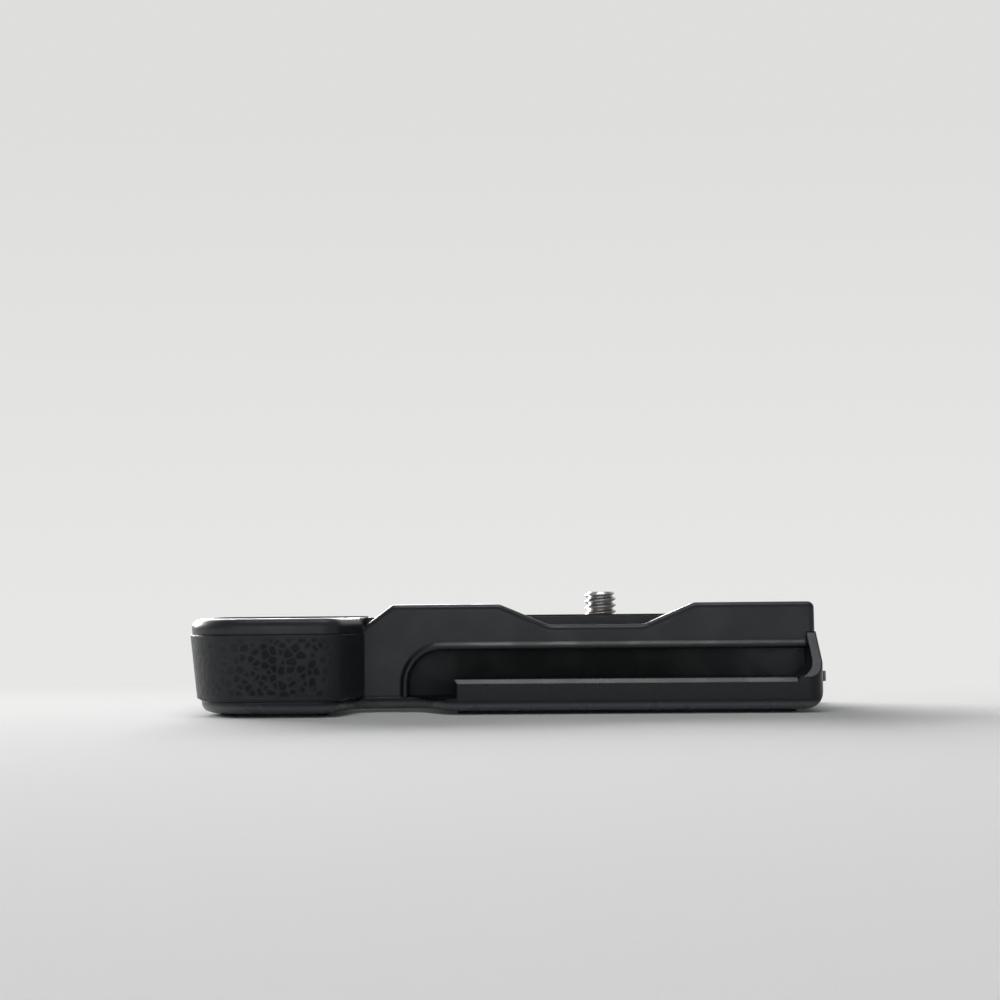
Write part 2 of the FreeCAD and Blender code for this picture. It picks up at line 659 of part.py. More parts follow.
pad_front = lip_inner + s.fit_gap
seat_outline = box_corners(
    -s.flank_rear + s.pad_margin * 2,
    s.right_end - s.pad_margin,
    -pad_front + s.pad_margin / 2,
    s.rear_face - s.pad_margin,
    *(s.pad_corner,) * 4,
)
grip_pad_front = s.grip_front - s.pad_margin * 2
grip_pad_outline = [
    (-s.left_end + s.pad_margin * 2, s.rear_face - s.pad_margin, s.pad_corner),
    (-s.left_end + s.pad_margin * 2, -grip_pad_front, s.big_corner - s.pad_margin),
    (flank_at(grip_pad_front, -s.pad_margin * 2)[0], -grip_pad_front, s.pad_corner),
    (-s.flank_rear - s.pad_margin, -s.band_front, s.pad_corner * 4),
    (-s.flank_rear - s.pad_margin, s.rear_face - s.pad_margin, s.pad_corner),
]
pad_under = -s.pad_thickness
pocket(housing, "pad_beds", "XY", deck_top + BEYOND / 4, pad_under, seat_outline, grip_pad_outline)
collar_radius = bush_radius + s.bush_wall
pad(housing, "collar", "XY", pad_under - BEYOND / 4, deck_top, circles=[(0, 0)], radius=collar_radius)
bush_hole = bush_radius + s.fit_gap
through_deck = deck_under - BEYOND / 4
pocket(housing, "bush_hole", "XY", deck_top + BEYOND, through_deck, circles=[(0, 0)], radius=bush_hole)
chassis_reach = chassis_under + s.chassis_screw_length + s.fit_gap
pocket(
    housing, "chassis_holes", "XY", deck_under - BEYOND / 4, chassis_reach, circles=chassis_points,
    radius=s.screw_radius,
)
lug_reach_top = lug_under + s.lug_screw_length + s.fit_gap
pocket(
    housing, "lug_holes", "XY", lug_top - BEYOND / 4, lug_reach_top, circles=lug_points,
    radius=s.screw_radius,
)
slot = box_corners(
    -s.lug_half - s.fit_gap, s.lug_half + s.fit_gap, lug_under - s.fit_gap, lug_top
)
pocket(housing, "lug_slot", "YZ", s.right_end + BEYOND, room_right - BEYOND / 4, slot)
wheel_chord = (s.wheel_radius * s.wheel_radius - room_rear * room_rear).root()
window_half = wheel_chord + s.window_side_play
window = box_corners(
    -window_half,
    window_half,
    wheel_under - s.window_end_play,
    wheel_top + s.window_end_play,
    *(s.window_corner,) * 4,
)
pocket(housing, "wheel_window", "XZ", rear_groove_floor + BEYOND / 4, room_rear - BEYOND / 4, window)

# Skin and its bed: one wrap round the grip section, cut out of the housing and filled again
def wrap(label, offset, sub_part):
    outer = grip_block(
        f"{label}_outer", offset, skin_under, skin_top, s.skin_rear, s.skin_flank_end, s.flank_rear + BEYOND
    )
    inner = grip_block(
        f"{label}_inner",
        -bed_depth,
        skin_under - BEYOND / 4,
        skin_top + BEYOND / 4,
        s.skin_rear + BEYOND / 4,
        s.band_front - BEYOND / 4,
        s.flank_rear + bed_depth + s.fit_gap,
    )
    return cut(label, outer, inner, sub_part)


grip_skin = wrap("grip_skin", s.skin_proud, sub_part=True)
skin_bed = wrap("skin_bed", s.skin_thickness, sub_part=False)
upper_shell = cut("upper_shell", housing, skin_bed)

# Base plate with both rails and the web at the right end
base = new_body("base_plate")
rim_left = left_at(base_top) - s.rim_inset
rim_front = s.grip_front - s.rim_inset
base_outline = [
    (-rim_left, s.rear_face, s.rear_corner - s.rim_inset),
    (-rim_left, -rim_front, s.big_corner - s.rim_inset),
    (flank_at(rim_front, -s.rim_inset)[0], -rim_front, s.small_corner - s.rim_inset),
    (*flank_at(s.band_front, -s.rim_inset), s.base_nook),
    (-s.ramp_left, -s.band_front, s.ramp_round),
    (-s.ramp_right, -s.rail_front, s.ramp_round),
    (s.right_end, -s.rail_front, s.rail_corner),
    (s.right_end, s.rear_face, s.rear_corner),
]
pad(base, "plate", "XY", base_under, base_top, base_outline)
dress("Fillet", base, "lower_edge", level_edges(base.Tip.Shape, base_under), s.base_round)
rail_back = groove_floor + s.fit_gap
web_back = s.band_front + s.fit_gap
rail_profile = [
    (-s.rail_left, base_top),
    (s.right_end, base_top),
    (s.right_end, -s.web_drop),
    (web_x, -s.web_drop),
    (web_x, rail_top, s.web_round),
    (-s.rail_left, rail_top),
]
pad(base, "front_rail", "XZ", -s.rail_front, -web_back, rail_profile)
shelf = box_corners(-s.rail_left, web_x - s.fit_gap, -web_back - BEYOND / 4, -rail_back)
pad(base, "shelf", "XY", base_top, rail_top, shelf)
web_slant = [
    (-s.rail_front, rail_top),
    (-web_back, -s.web_drop),
    (-web_back, -s.web_drop + BEYOND),
    (-s.rail_front - BEYOND, -s.web_drop + BEYOND),
    (-s.rail_front - BEYOND, rail_top),
]
web_left = web_x - s.web_round - BEYOND / 4
pocket(base, "web_slant", "YZ", web_left, s.right_end + BEYOND, web_slant)
corner_reach = s.rail_corner + BEYOND / 4
web_corner = [
    (s.right_end - corner_reach, -s.rail_front),
    (s.right_end, -s.rail_front, s.rail_corner),
    (s.right_end, -s.rail_front + corner_reach),
    (s.right_end + BEYOND, -s.rail_front + corner_reach),
    (s.right_end + BEYOND, -s.rail_front - BEYOND),
    (s.right_end - corner_reach, -s.rail_front - BEYOND),
]
pocket(base, "web_corner", "XY", NOTHING, base_under - BEYOND / 4, web_corner)
rear_rail_end = s.rear_groove_half - s.fit_gap * 3
rear_rail = box_corners(-rear_rail_end, rear_rail_end, rear_groove_floor + s.fit_gap, s.rear_face)
pad(base, "rear_rail", "XY", base_top, rail_top, rear_rail)
rail_end = [
    (-s.rail_left - BEYOND / 4, -s.rail_front - BEYOND / 4),
    (-s.rail_left + s.rail_end_bevel + BEYOND / 4, -s.rail_front - BEYOND / 4),
    (-s.rail_left - BEYOND / 4, -s.rail_front + s.rail_end_bevel + BEYOND / 4),
]
pocket(base, "rail_end", "XY", rail_top + BEYOND / 4, base_top, rail_end)
rail_edges = nearest_edges(base.Tip.Shape, [(0, -s.rail_front, rail_top), (0, s.rear_face, rail_top)])
dress("Chamfer", base, "rail_bevel", rail_edges, s.rail_bevel)
round_end(base)
through = base_top + BEYOND
hole_radius = s.screw_radius + s.fit_gap
screw_points = cover_points + bush_points
pocket(base, "screw_holes", "XY", base_under, through, circles=screw_points, radius=hole_radius)
head_hole = s.head_radius + s.fit_gap
pocket(base, "head_holes", "XY", base_under, seat_level, circles=screw_points, radius=head_hole)
bush_clear = s.tripod_body + s.fit_gap
pocket(base, "bush_hole", "XY", base_under, through, circles=[(0, 0)], radius=bush_clear)
dowel_low = base_top - s.dowel_low
pocket(base, "dowel_holes", "XY", through, dowel_low, circles=dowel_points, radius=s.dowel_radius)

# Flat rubber pieces: seat pads, lip pads and the pads that the plate stands on
def flat_piece(label, low, high, outline, hole=None):
    piece = new_body(label)
    pad(piece, "sheet", "XY", low, high, outline)
    if hole:
        pocket(piece, "hole", "XY", high + BEYOND, low - BEYOND, circles=[(0, 0)], radius=hole)


flat_piece("seat_pad", pad_under, NOTHING, seat_outline, collar_radius + s.fit_gap)
flat_piece("grip_seat_pad", pad_under, NOTHING, grip_pad_outline)
foot_under = base_under - s.foot_thickness
foot_right = s.right_end - s.end_round - s.foot_margin / 2
foot_front = s.rail_front - s.base_round - s.foot_margin / 2
grip_foot = box_corners(
    -rim_left + s.base_round + s.foot_margin,
    -s.grip_foot_right,
    -rim_front + s.base_round + s.foot_margin / 2,
    s.rear_face - s.base_round - s.foot_margin,
    s.big_corner * 3 / 4,
    s.pad_corner,
    s.pad_corner,
    s.pad_corner,
)
front_foot = box_corners(
    -s.ramp_right + s.foot_margin, foot_right, -foot_front, -s.front_foot_rear, *(s.pad_corner,) * 4
)
rear_foot_rear = s.rear_face - s.base_round - s.foot_margin / 2
rear_foot = box_corners(
    -s.rear_foot_left, foot_right, s.rear_foot_front, rear_foot_rear, *(s.pad_corner / 2,) * 4
)
flat_piece("front_foot_strip", foot_under, base_under, front_foot)
flat_piece("rear_foot_strip", foot_under, base_under, rear_foot)
grip_foot_pad = new_body("grip_foot_pad")
pad(grip_foot_pad, "sheet", "XY", foot_under, base_under, grip_foot)
head_clear = s.head_radius + s.fit_gap * 4
pocket(
    grip_foot_pad, "head_holes", "XY", base_under + BEYOND, foot_under - BEYOND, circles=cover_points[:2],
    radius=head_clear,
)
felt_high = s.lip_height - s.felt_drop
for label, left, right in [
    (
        "left_lip_pad",
        -s.flank_rear + s.lip_bevel_width + s.felt_margin,
        -s.cutout_centre - s.cutout_top_half - s.felt_margin,
    ),
    (
        "right_lip_pad",
        -s.cutout_centre + s.cutout_top_half + s.felt_margin,
        s.right_end - s.felt_margin,
    ),
]:
    lip_pad = new_body(label)
    strip = box_corners(left, right, NOTHING, felt_high)
    pad(lip_pad, "sheet", "XZ", -lip_inner, -s.camera_front, strip)

# Steel plate that spreads the camera screw's pull under the deck
chassis = new_body("chassis_plate")
chassis_outline = box_corners(
    -s.chassis_half,
    s.chassis_half,
    -room_front + s.chassis_margin,
    room_rear - s.chassis_margin,
    *(s.pad_corner,) * 4,
)
pad(chassis, "plate", "XY", deck_under, chassis_under, chassis_outline)
under_plate = chassis_under - BEYOND
pocket(chassis, "bush_hole", "XY", deck_under + BEYOND, under_plate, circles=[(0, 0)], radius=bush_hole)
pocket(
    chassis, "screw_holes", "XY", deck_under + BEYOND, under_plate, circles=chassis_points,
    radius=hole_radius,
)


# Small screws: one sub-part for each set, heads down, each with a cross recess
def screw_set(label, points, seat, length):
    screws = new_body(label)
    head_under = seat - s.head_height
    pad(screws, "heads", "XY", head_under, seat, circles=points, radius=s.head_radius)
    shank_under = seat - s.head_height / 2
    pad(screws, "shanks", "XY", shank_under, seat + length, circles=points, radius=s.screw_radius)
    for name, half_x, half_y in [
        ("slots", s.recess_length / 2, s.recess_width / 2),
        ("cross_slots", s.recess_width / 2, s.recess_length / 2),
    ]:
        slots = [box_corners(x - half_x, x + half_x, y - half_y, y + half_y) for x, y in points]
        pocket(screws, name, "XY", head_under - BEYOND / 4, head_under + s.recess_depth, *slots)


screw_set("cover_screws", cover_points, seat_level, s.cover_screw_length)
screw_set("bush_screws", bush_points, seat_level, s.bush_screw_length)
screw_set("chassis_screws", chassis_points, chassis_under, s.chassis_screw_length)
screw_set("lug_screws", lug_points, lug_under, s.lug_screw_length)

inserts = new_body("brass_inserts")
pad(inserts, "sleeves", "XY", base_top, insert_top, circles=cover_points, radius=s.insert_radius)
pocket(
    inserts, "bores", "XY", base_top - BEYOND, insert_top + BEYOND, circles=cover_points,
    radius=s.screw_radius,
)
dowels = new_body("locating_dowels")
pad(dowels, "pins", "XY", dowel_low, dowel_top, circles=dowel_points, radius=s.dowel_radius)

# Strap lug, screwed under its block and reaching out through the end wall
lug = new_body("strap_lug")
lug_left = s.right_end - s.lug_foot
lug_right = lug_eye_x + s.lug_half
lug_outline = [
    (lug_left, -s.lug_half),
    (lug_right, -s.lug_half, s.lug_half * 0.98),
    (lug_right, s.lug_half, s.lug_half * 0.98),
    (lug_left, s.lug_half),
]
pad(lug, "strap", "XY", lug_under, lug_top, lug_outline)
below = lug_under - BEYOND
pocket(lug, "eye", "XY", lug_top + BEYOND, below, circles=[(lug_eye_x, NOTHING)], radius=s.lug_eye)
pocket(lug, "screw_holes", "XY", lug_top + BEYOND, below, circles=lug_points, radius=hole_radius)

# Tripod bush, let into the base from above
tripod_bush = new_body("tripod_bush")
flange = box_corners(
    -s.tripod_flange_half,
    s.tripod_flange_half,
    -s.tripod_flange_depth,
    s.tripod_flange_depth,
    *(s.pad_corner,) * 4,
)
flange_top = base_top + s.tripod_flange_thickness
pad(tripod_bush, "flange", "XY", base_top, flange_top, flange)
pad(tripod_bush, "barrel", "XY", base_under, base_top + BEYOND / 4, circles=[(0, 0)], radius=s.tripod_body)
pad(tripod_bush, "neck", "XY", base_top, tripod_top, circles=[(0, 0)], radius=s.tripod_neck)
bore_top = base_under + s.tripod_depth
pocket(tripod_bush, "bore", "XY", base_under - BEYOND, bore_top, circles=[(0, 0)], radius=s.tripod_bore)
pocket(
    tripod_bush, "screw_holes", "XY", base_top - BEYOND / 4, flange_top + BEYOND / 4, circles=bush_points,
    radius=s.screw_radius,
)

# Bearings of the camera screw
bush = new_body("screw_bush")
bush_profile = [
    (bush_bore, deck_top),
    (bush_radius, deck_top),
    (bush_radius, chassis_under),
    (s.bush_flange_radius, chassis_under),
    (s.bush_flange_radius, bush_under),
    (bush_bore, bush_under),
]
turned(bush, "turned", bush_profile)
wave = new_body("wave_washer")
turned(wave, "ring", box_corners(bush_bore, s.wave_radius, wave_under, bush_under))
thrust = new_body("thrust_washer")
turned(thrust, "ring", box_corners(s.thrust_hole, s.thrust_radius, tripod_top, thrust_top))

# Camera screw with its shoulder and hub, turned about the origin's Z axis
stud = new_body("camera_stud")
clip_radius = s.hub_radius - s.clip_groove
clip_under = clip_top - s.clip_thickness
stud_profile = [
    (NOTHING, s.stud_height),
    (s.stud_radius - s.stud_bevel, s.stud_height),
    (s.stud_radius, s.stud_height - s.stud_bevel),
    (s.stud_radius, deck_top),
    (s.shank_radius, deck_top - (s.shank_radius - s.stud_radius)),
    (s.shank_radius, shoulder_top),
    (s.shoulder_radius, shoulder_top),
    (s.shoulder_radius, wheel_top),
    (s.hub_radius, wheel_top),
    (s.hub_radius, clip_top),
    (clip_radius, clip_top),
    (clip_radius, clip_under),
    (s.hub_radius, clip_under),
    (s.hub_radius, wheel_under),
    (NOTHING, wheel_under),
]
turned(stud, "turned", stud_profile)
drive_points = [(-s.drive_circle, NOTHING), (s.drive_circle, NOTHING)]
drive_under = shoulder_top - s.drive_length
pocket(
    stud, "drive_holes", "XY", shoulder_top + BEYOND / 4, wheel_top - BEYOND / 4, circles=drive_points,
    radius=s.drive_radius,
)

# Thumb wheel, its rim notched all round
wheel = new_body("thumb_wheel")
wheel_bore = s.hub_radius + s.fit_gap
wheel_profile = [
    (wheel_bore, wheel_top),
    (s.wheel_radius - s.wheel_bevel, wheel_top),
    (s.wheel_radius, wheel_top - s.wheel_bevel),
    (s.wheel_radius, wheel_under + s.wheel_bevel),
    (s.wheel_radius - s.wheel_bevel, wheel_under),
    (s.clip_room_radius, wheel_under),
    (s.clip_room_radius, clip_top),
    (wheel_bore, clip_top),
]
turned(wheel, "turned", wheel_profile)
pocket(
    wheel, "drive_holes", "XY", wheel_top + BEYOND / 4, drive_under, circles=drive_points,
    radius=s.drive_radius,
)
notch = pocket(
    wheel, "notch", "XY", wheel_top + BEYOND / 4, wheel_under - BEYOND / 4,
    circles=[(s.wheel_radius + s.notch_radius / 5, NOTHING)], radius=s.notch_radius,
)
ring = wheel.newObject("PartDesign::PolarPattern", "thumb_wheel_notches")
ring.Originals = [notch]
ring.Axis = (notch.Profile[0], ["N_Axis"])
ring.Angle = 360
ring.setExpression("Occurrences", s.wheel_ridges.text)
wheel.Tip = ring
pins = new_body("drive_pins")
pad(pins, "pins", "XY", drive_under, shoulder_top, circles=drive_points, radius=s.drive_radius)
clip = new_body("retaining_ring")
turned(clip, "ring", box_corners(clip_radius, s.clip_radius, clip_under, clip_top))
opening = box_corners(-s.clip_gap / 2, s.clip_gap / 2, NOTHING, s.clip_radius + BEYOND)
pocket(clip, "opening", "XY", clip_top + BEYOND, clip_under - BEYOND, opening)

# Every feature is checked before anything is written
doc.recompute()
for thing in doc.Objects:
    faults = {"Invalid", "Error"} & set(thing.State)
    assert not faults, f"{thing.Name} has the state {thing.State}"
    if hasattr(thing, "Shape") and not thing.isDerivedFrom("Sketcher::SketchObject"):
        sound = not thing.Shape.isNull() and thing.Shape.isValid()
        assert sound or thing.isDerivedFrom("App::DatumElement"), f"{thing.Name} has a bad shape"
os.makedirs("parts", exist_ok=True)
for part in sub_parts:
    assert part.Shape.Volume > 0, f"{part.Label} is empty"
    part.Shape.exportStep(f"parts/{part.Label}.step")
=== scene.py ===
"""Camera grip plate: the finish of each piece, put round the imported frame.

Metres, +Z up. The origin is on the camera screw's axis at the seat, +X runs to the strap lug.
"""

import math

import bmesh
import bpy
from mathutils import Matrix, Vector


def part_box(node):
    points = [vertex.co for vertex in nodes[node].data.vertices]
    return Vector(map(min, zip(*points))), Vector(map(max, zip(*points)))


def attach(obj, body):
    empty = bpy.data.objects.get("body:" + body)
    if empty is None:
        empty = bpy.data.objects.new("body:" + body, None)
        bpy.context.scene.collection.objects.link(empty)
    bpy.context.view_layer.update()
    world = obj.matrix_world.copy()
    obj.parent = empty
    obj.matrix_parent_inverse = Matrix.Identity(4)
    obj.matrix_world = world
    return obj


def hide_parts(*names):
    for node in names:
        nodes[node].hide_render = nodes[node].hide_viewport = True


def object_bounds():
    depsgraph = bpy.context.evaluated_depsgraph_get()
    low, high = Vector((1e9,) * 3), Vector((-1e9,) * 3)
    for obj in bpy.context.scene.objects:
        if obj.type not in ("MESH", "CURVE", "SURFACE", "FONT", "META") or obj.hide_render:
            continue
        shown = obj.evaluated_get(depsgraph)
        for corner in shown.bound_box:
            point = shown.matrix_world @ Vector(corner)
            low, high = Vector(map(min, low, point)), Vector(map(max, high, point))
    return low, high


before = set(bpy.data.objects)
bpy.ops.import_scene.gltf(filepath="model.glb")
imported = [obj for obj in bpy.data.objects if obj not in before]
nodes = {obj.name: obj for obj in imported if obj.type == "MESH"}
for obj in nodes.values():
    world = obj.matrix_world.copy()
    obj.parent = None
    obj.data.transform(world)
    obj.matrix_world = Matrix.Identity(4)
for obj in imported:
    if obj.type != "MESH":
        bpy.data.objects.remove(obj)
cad_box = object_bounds()

# Camera: a 50 mm lens on a full-size sensor, two centimetres above the table and looking a
# little upwards past the plate, which lies below the middle of the picture.
LENS = 50.0
SENSOR = 36.0
NEAREST, FARTHEST = 0.01, 20.0
EYE = Vector((-0.0123, -0.2836, -0.0001))
YAW, TILT, ROLL = math.radians(1.6), math.radians(4.75), math.radians(-0.49)

camera_data = bpy.data.cameras.new("studio_camera")
camera_data.lens = LENS
camera_data.sensor_width = SENSOR
camera_data.clip_start = NEAREST
camera_data.clip_end = FARTHEST
camera = bpy.data.objects.new("studio_camera", camera_data)
bpy.context.scene.collection.objects.link(camera)
look = Vector((-math.sin(YAW) * math.cos(TILT), math.cos(YAW) * math.cos(TILT), math.sin(TILT)))
turn = look.to_track_quat("-Z", "Y").to_matrix().to_4x4()
camera.matrix_world = Matrix.Translation(EYE) @ turn @ Matrix.Rotation(ROLL, 4, "Z")
bpy.context.scene.camera = camera

# Floor and backdrop: one sheet of pale paper that lies flat under the plate and curves up behind
# it. Where the plate's shadow doesn't fall, it shows its own even white to the viewer.
FLOOR_HALF = 1.6
FLOOR_FRONT, FLOOR_REAR = -1.8, 0.9
SWEEP, SWEEP_STEPS = 0.5, 24
WALL_HEIGHT = 1.4
FLOOR_COLOUR, FLOOR_ROUGHNESS = (0.86, 0.855, 0.84), 0.95
GLOW_COLOUR = (1.0, 0.997, 0.99)
GLOW_LOW, GLOW_HIGH, GLOW_TOP = 0.80, 0.735, 0.6
GLOW_START, GLOW_FULL = -0.03, 0.10
GLOW_NEAR, GLOW_FAR = 0.24, 0.55
NEAR = 0.0001


def deselect_all():
    """Leaves nothing selected, and object mode on."""
    if bpy.context.object and bpy.context.object.mode != "OBJECT":
        bpy.ops.object.mode_set(mode="OBJECT")
    bpy.ops.object.select_all(action="DESELECT")


def edit(piece):
    """Opens a piece in edit mode with nothing selected."""
    deselect_all()
    piece.select_set(True)
    bpy.context.view_layer.objects.active = piece
    bpy.ops.object.mode_set(mode="EDIT")
    bpy.ops.mesh.select_mode(type="VERT")
    bpy.ops.mesh.select_all(action="DESELECT")


def pick(piece, kind, test):
    """Selects the verts, edges or faces of an open piece that pass the test."""
    mesh = bmesh.from_edit_mesh(piece.data)
    for part in list(mesh.faces) + list(mesh.edges) + list(mesh.verts):
        part.select_set(False)
    for part in getattr(mesh, kind):
        if test(part):
            part.select_set(True)
    bmesh.update_edit_mesh(piece.data)


def edge_middle(edge):
    return (edge.verts[0].co + edge.verts[1].co) / 2


deselect_all()
bpy.ops.mesh.primitive_plane_add(size=1.0)
floor = bpy.context.object
floor.name = "floor"
edit(floor)
bpy.ops.mesh.select_all(action="SELECT")
bpy.ops.transform.resize(value=(2 * FLOOR_HALF, FLOOR_REAR - FLOOR_FRONT, 1.0))
floor_level = cad_box[0].z
bpy.ops.transform.translate(value=(0.0, (FLOOR_REAR + FLOOR_FRONT) / 2, floor_level))
pick(floor, "edges", lambda edge: edge_middle(edge).y > FLOOR_REAR - NEAR)
bpy.ops.mesh.spin(
    steps=SWEEP_STEPS,
    angle=math.radians(-90),
    axis=(1.0, 0.0, 0.0),
    center=(0.0, FLOOR_REAR, floor_level + SWEEP),
)
bpy.ops.mesh.extrude_region_move(TRANSFORM_OT_translate={"value": (0.0, 0.0, WALL_HEIGHT)})
bpy.ops.mesh.select_all(action="SELECT")
bpy.ops.mesh.normals_make_consistent(inside=False)
bpy.ops.object.mode_set(mode="OBJECT")
bpy.ops.object.shade_smooth()


def place(tree, kind, settings=None, **inputs):
    """A shader node of that kind with its settings and input values."""
    made = tree.nodes.new(f"ShaderNode{kind}")
    for name, value in (settings or {}).items():
        setattr(made, name, value)
    for name, value in inputs.items():
        made.inputs[name.replace("_", " ")].default_value = value
    return made


def maths(tree, operation, values=None, clamp=False):
    """A Math node, with values for the sockets that aren't linked."""
    made = place(tree, "Math", {"operation": operation, "use_clamp": clamp})
    for index, value in (values or {}).items():
        made.inputs[index].default_value = value
    return made


def soft_step(tree, start, end):
    """A node that rises gently from 0 to 1 between two values."""
    smooth = {"interpolation_type": "SMOOTHSTEP"}
    return place(tree, "MapRange", smooth, From_Min=start, From_Max=end)


def join(tree, *pairs):
    """Links each pair of sockets."""
    for start, end in pairs:
        tree.links.new(start, end)


def new_material(name, colour, roughness, metallic=0.0):
    """A material with these plain values on its Principled shader."""
    material = bpy.data.materials.new(name)
    material.use_nodes = True
    shader = material.node_tree.nodes["Principled BSDF"]
    shader.inputs["Base Color"].default_value = (*colour, 1.0)
    shader.inputs["Roughness"].default_value = roughness
    shader.inputs["Metallic"].default_value = metallic
    return material


def nodes_of(material):
    """A material's node tree and its Principled shader."""
    return material.node_tree, material.node_tree.nodes["Principled BSDF"]


paper = new_material("pale_paper", FLOOR_COLOUR, FLOOR_ROUGHNESS)
tree, shader = nodes_of(paper)
shader.inputs["Specular IOR Level"].default_value = 0.0
shader.inputs["Emission Color"].default_value = (*GLOW_COLOUR, 1.0)
spot = place(tree, "TexCoord")
apart = place(tree, "SeparateXYZ")
behind = soft_step(tree, GLOW_START, GLOW_FULL)
reach = place(tree, "VectorMath", {"operation": "LENGTH"})
all_round = soft_step(tree, GLOW_NEAR, GLOW_FAR)
shadow_free = maths(tree, "MAXIMUM")
ray = place(tree, "LightPath")
seen = maths(tree, "MAXIMUM")
seen_or_through = maths(tree, "MAXIMUM")
glow = maths(tree, "MULTIPLY")
level = place(tree, "MapRange", From_Min=0.0, From_Max=GLOW_TOP, To_Min=GLOW_LOW, To_Max=GLOW_HIGH)
strength = maths(tree, "MULTIPLY")
lit = place(tree, "MixRGB", Color1=(*FLOOR_COLOUR, 1.0), Color2=(0.0, 0.0, 0.0, 1.0))
join(
    tree,
    (spot.outputs["Object"], apart.inputs[0]),
    (spot.outputs["Object"], reach.inputs[0]),
    (apart.outputs["Y"], behind.inputs["Value"]),
    (reach.outputs["Value"], all_round.inputs["Value"]),
    (behind.outputs["Result"], shadow_free.inputs[0]),
    (all_round.outputs["Result"], shadow_free.inputs[1]),
    (ray.outputs["Is Camera Ray"], seen.inputs[0]),
    (ray.outputs["Is Glossy Ray"], seen.inputs[1]),
    (seen.outputs[0], seen_or_through.inputs[0]),
    (ray.outputs["Is Transmission Ray"], seen_or_through.inputs[1]),
    (shadow_free.outputs[0], glow.inputs[0]),
    (seen_or_through.outputs[0], glow.inputs[1]),
    (apart.outputs["Z"], level.inputs["Value"]),
    (glow.outputs[0], strength.inputs[0]),
    (level.outputs["Result"], strength.inputs[1]),
    (glow.outputs[0], lit.inputs["Fac"]),
    (lit.outputs[0], shader.inputs["Base Color"]),
    (strength.outputs[0], shader.inputs["Emission Strength"]),
)
floor.data.materials.append(paper)

# Lamps: a narrow soft box overhead, a large low one behind at the left that throws the plate's
# soft shadow forwards, and a weak one in front. The room around them fills the shadows.
ROOM_COLOUR = (1.0, 0.985, 0.965)
ROOM_LIGHT, ROOM_REFLECTED, ROOM_SEEN = 0.08, 0.15, 0.72


def soft_box(name, position, target, size, radiance, colour):
    """A rectangular lamp that faces the target and looks equally bright however large it is."""
    data = bpy.data.lights.new(name, "AREA")
    data.shape = "RECTANGLE"
    data.size, data.size_y = size
    data.energy = radiance * math.pi * size[0] * size[1]
    data.color = colour
    lamp = bpy.data.objects.new(name, data)
    bpy.context.scene.collection.objects.link(lamp)
    lamp.location = position
    lamp.rotation_euler = (Vector(target) - Vector(position)).to_track_quat("-Z", "Y").to_euler()


soft_box(
    "overhead_box",
    position=(0.0, -0.05, 0.50),
    target=(0.0, -0.03, 0.0),
    size=(0.30, 0.12),
    radiance=5.5,
    colour=(0.94, 0.975, 1.0),
)
soft_box(
    "rear_box",
    position=(-0.60, 0.88, 0.35),
    target=(0.0, -0.08, 0.0),
    size=(1.4, 0.42),
    radiance=16.5,
    colour=(0.99, 0.995, 1.0),
)
soft_box(
    "front_box",
    position=(-0.05, -0.66, 0.12),
    target=(0.0, 0.0, 0.0),
    size=(0.70, 0.25),
    radiance=0.92,
    colour=(0.89, 0.955, 1.0),
)

world = bpy.data.worlds.new("studio_world")
world.use_nodes = True
room = world.node_tree
walls = room.nodes["Background"]
walls.inputs["Color"].default_value = (*ROOM_COLOUR, 1.0)
ray = place(room, "LightPath")
seen = maths(room, "MAXIMUM")
reflected = maths(room, "MULTIPLY_ADD", {1: ROOM_REFLECTED, 2: ROOM_LIGHT})
shown = maths(room, "MULTIPLY_ADD", {1: ROOM_SEEN})
join(
    room,
    (ray.outputs["Is Camera Ray"], seen.inputs[0]),
    (ray.outputs["Is Transmission Ray"], seen.inputs[1]),
    (ray.outputs["Is Glossy Ray"], reflected.inputs[0]),
    (seen.outputs[0], shown.inputs[0]),
    (reflected.outputs[0], shown.inputs[2]),
    (shown.outputs[0], walls.inputs["Strength"]),
)
bpy.context.scene.world = world
bpy.context.scene.view_settings.view_transform = "Standard"

# Base plate: cast light alloy, machined on its edges and anodised satin black. It closes the
# housing from below, and its front rail and end web stand free in front of the finger groove.
BASE_BLACK = (0.0044, 0.0050, 0.0066)
BASE_WORN = (0.085, 0.085, 0.09)
BASE_GLOSS = 0.4
BASE_UNDER = -0.01775
# Height and colour of the painted highlight along the base's lower edge.
LOW_EDGE_HEIGHT = 0.0019
LOW_EDGE_PAINTED_LIGHT = (0.120, 0.126, 0.140)
SMALL_EDGE = 0.00035
DUST_COLOUR = (0.20, 0.19, 0.175)
MOTTLE_GAIN = 1.9


def new_group(name, inputs, outputs):
    """A shader node group with its input and output nodes."""
    group = bpy.data.node_groups.new(name, "ShaderNodeTree")
    for label, value in inputs:
        socket = group.interface.new_socket(label, in_out="INPUT", socket_type="NodeSocketFloat")
        socket.default_value = value
    for label, kind in outputs:
        group.interface.new_socket(label, in_out="OUTPUT", socket_type=f"NodeSocket{kind}")
    return group, group.nodes.new("NodeGroupInput"), group.nodes.new("NodeGroupOutput")


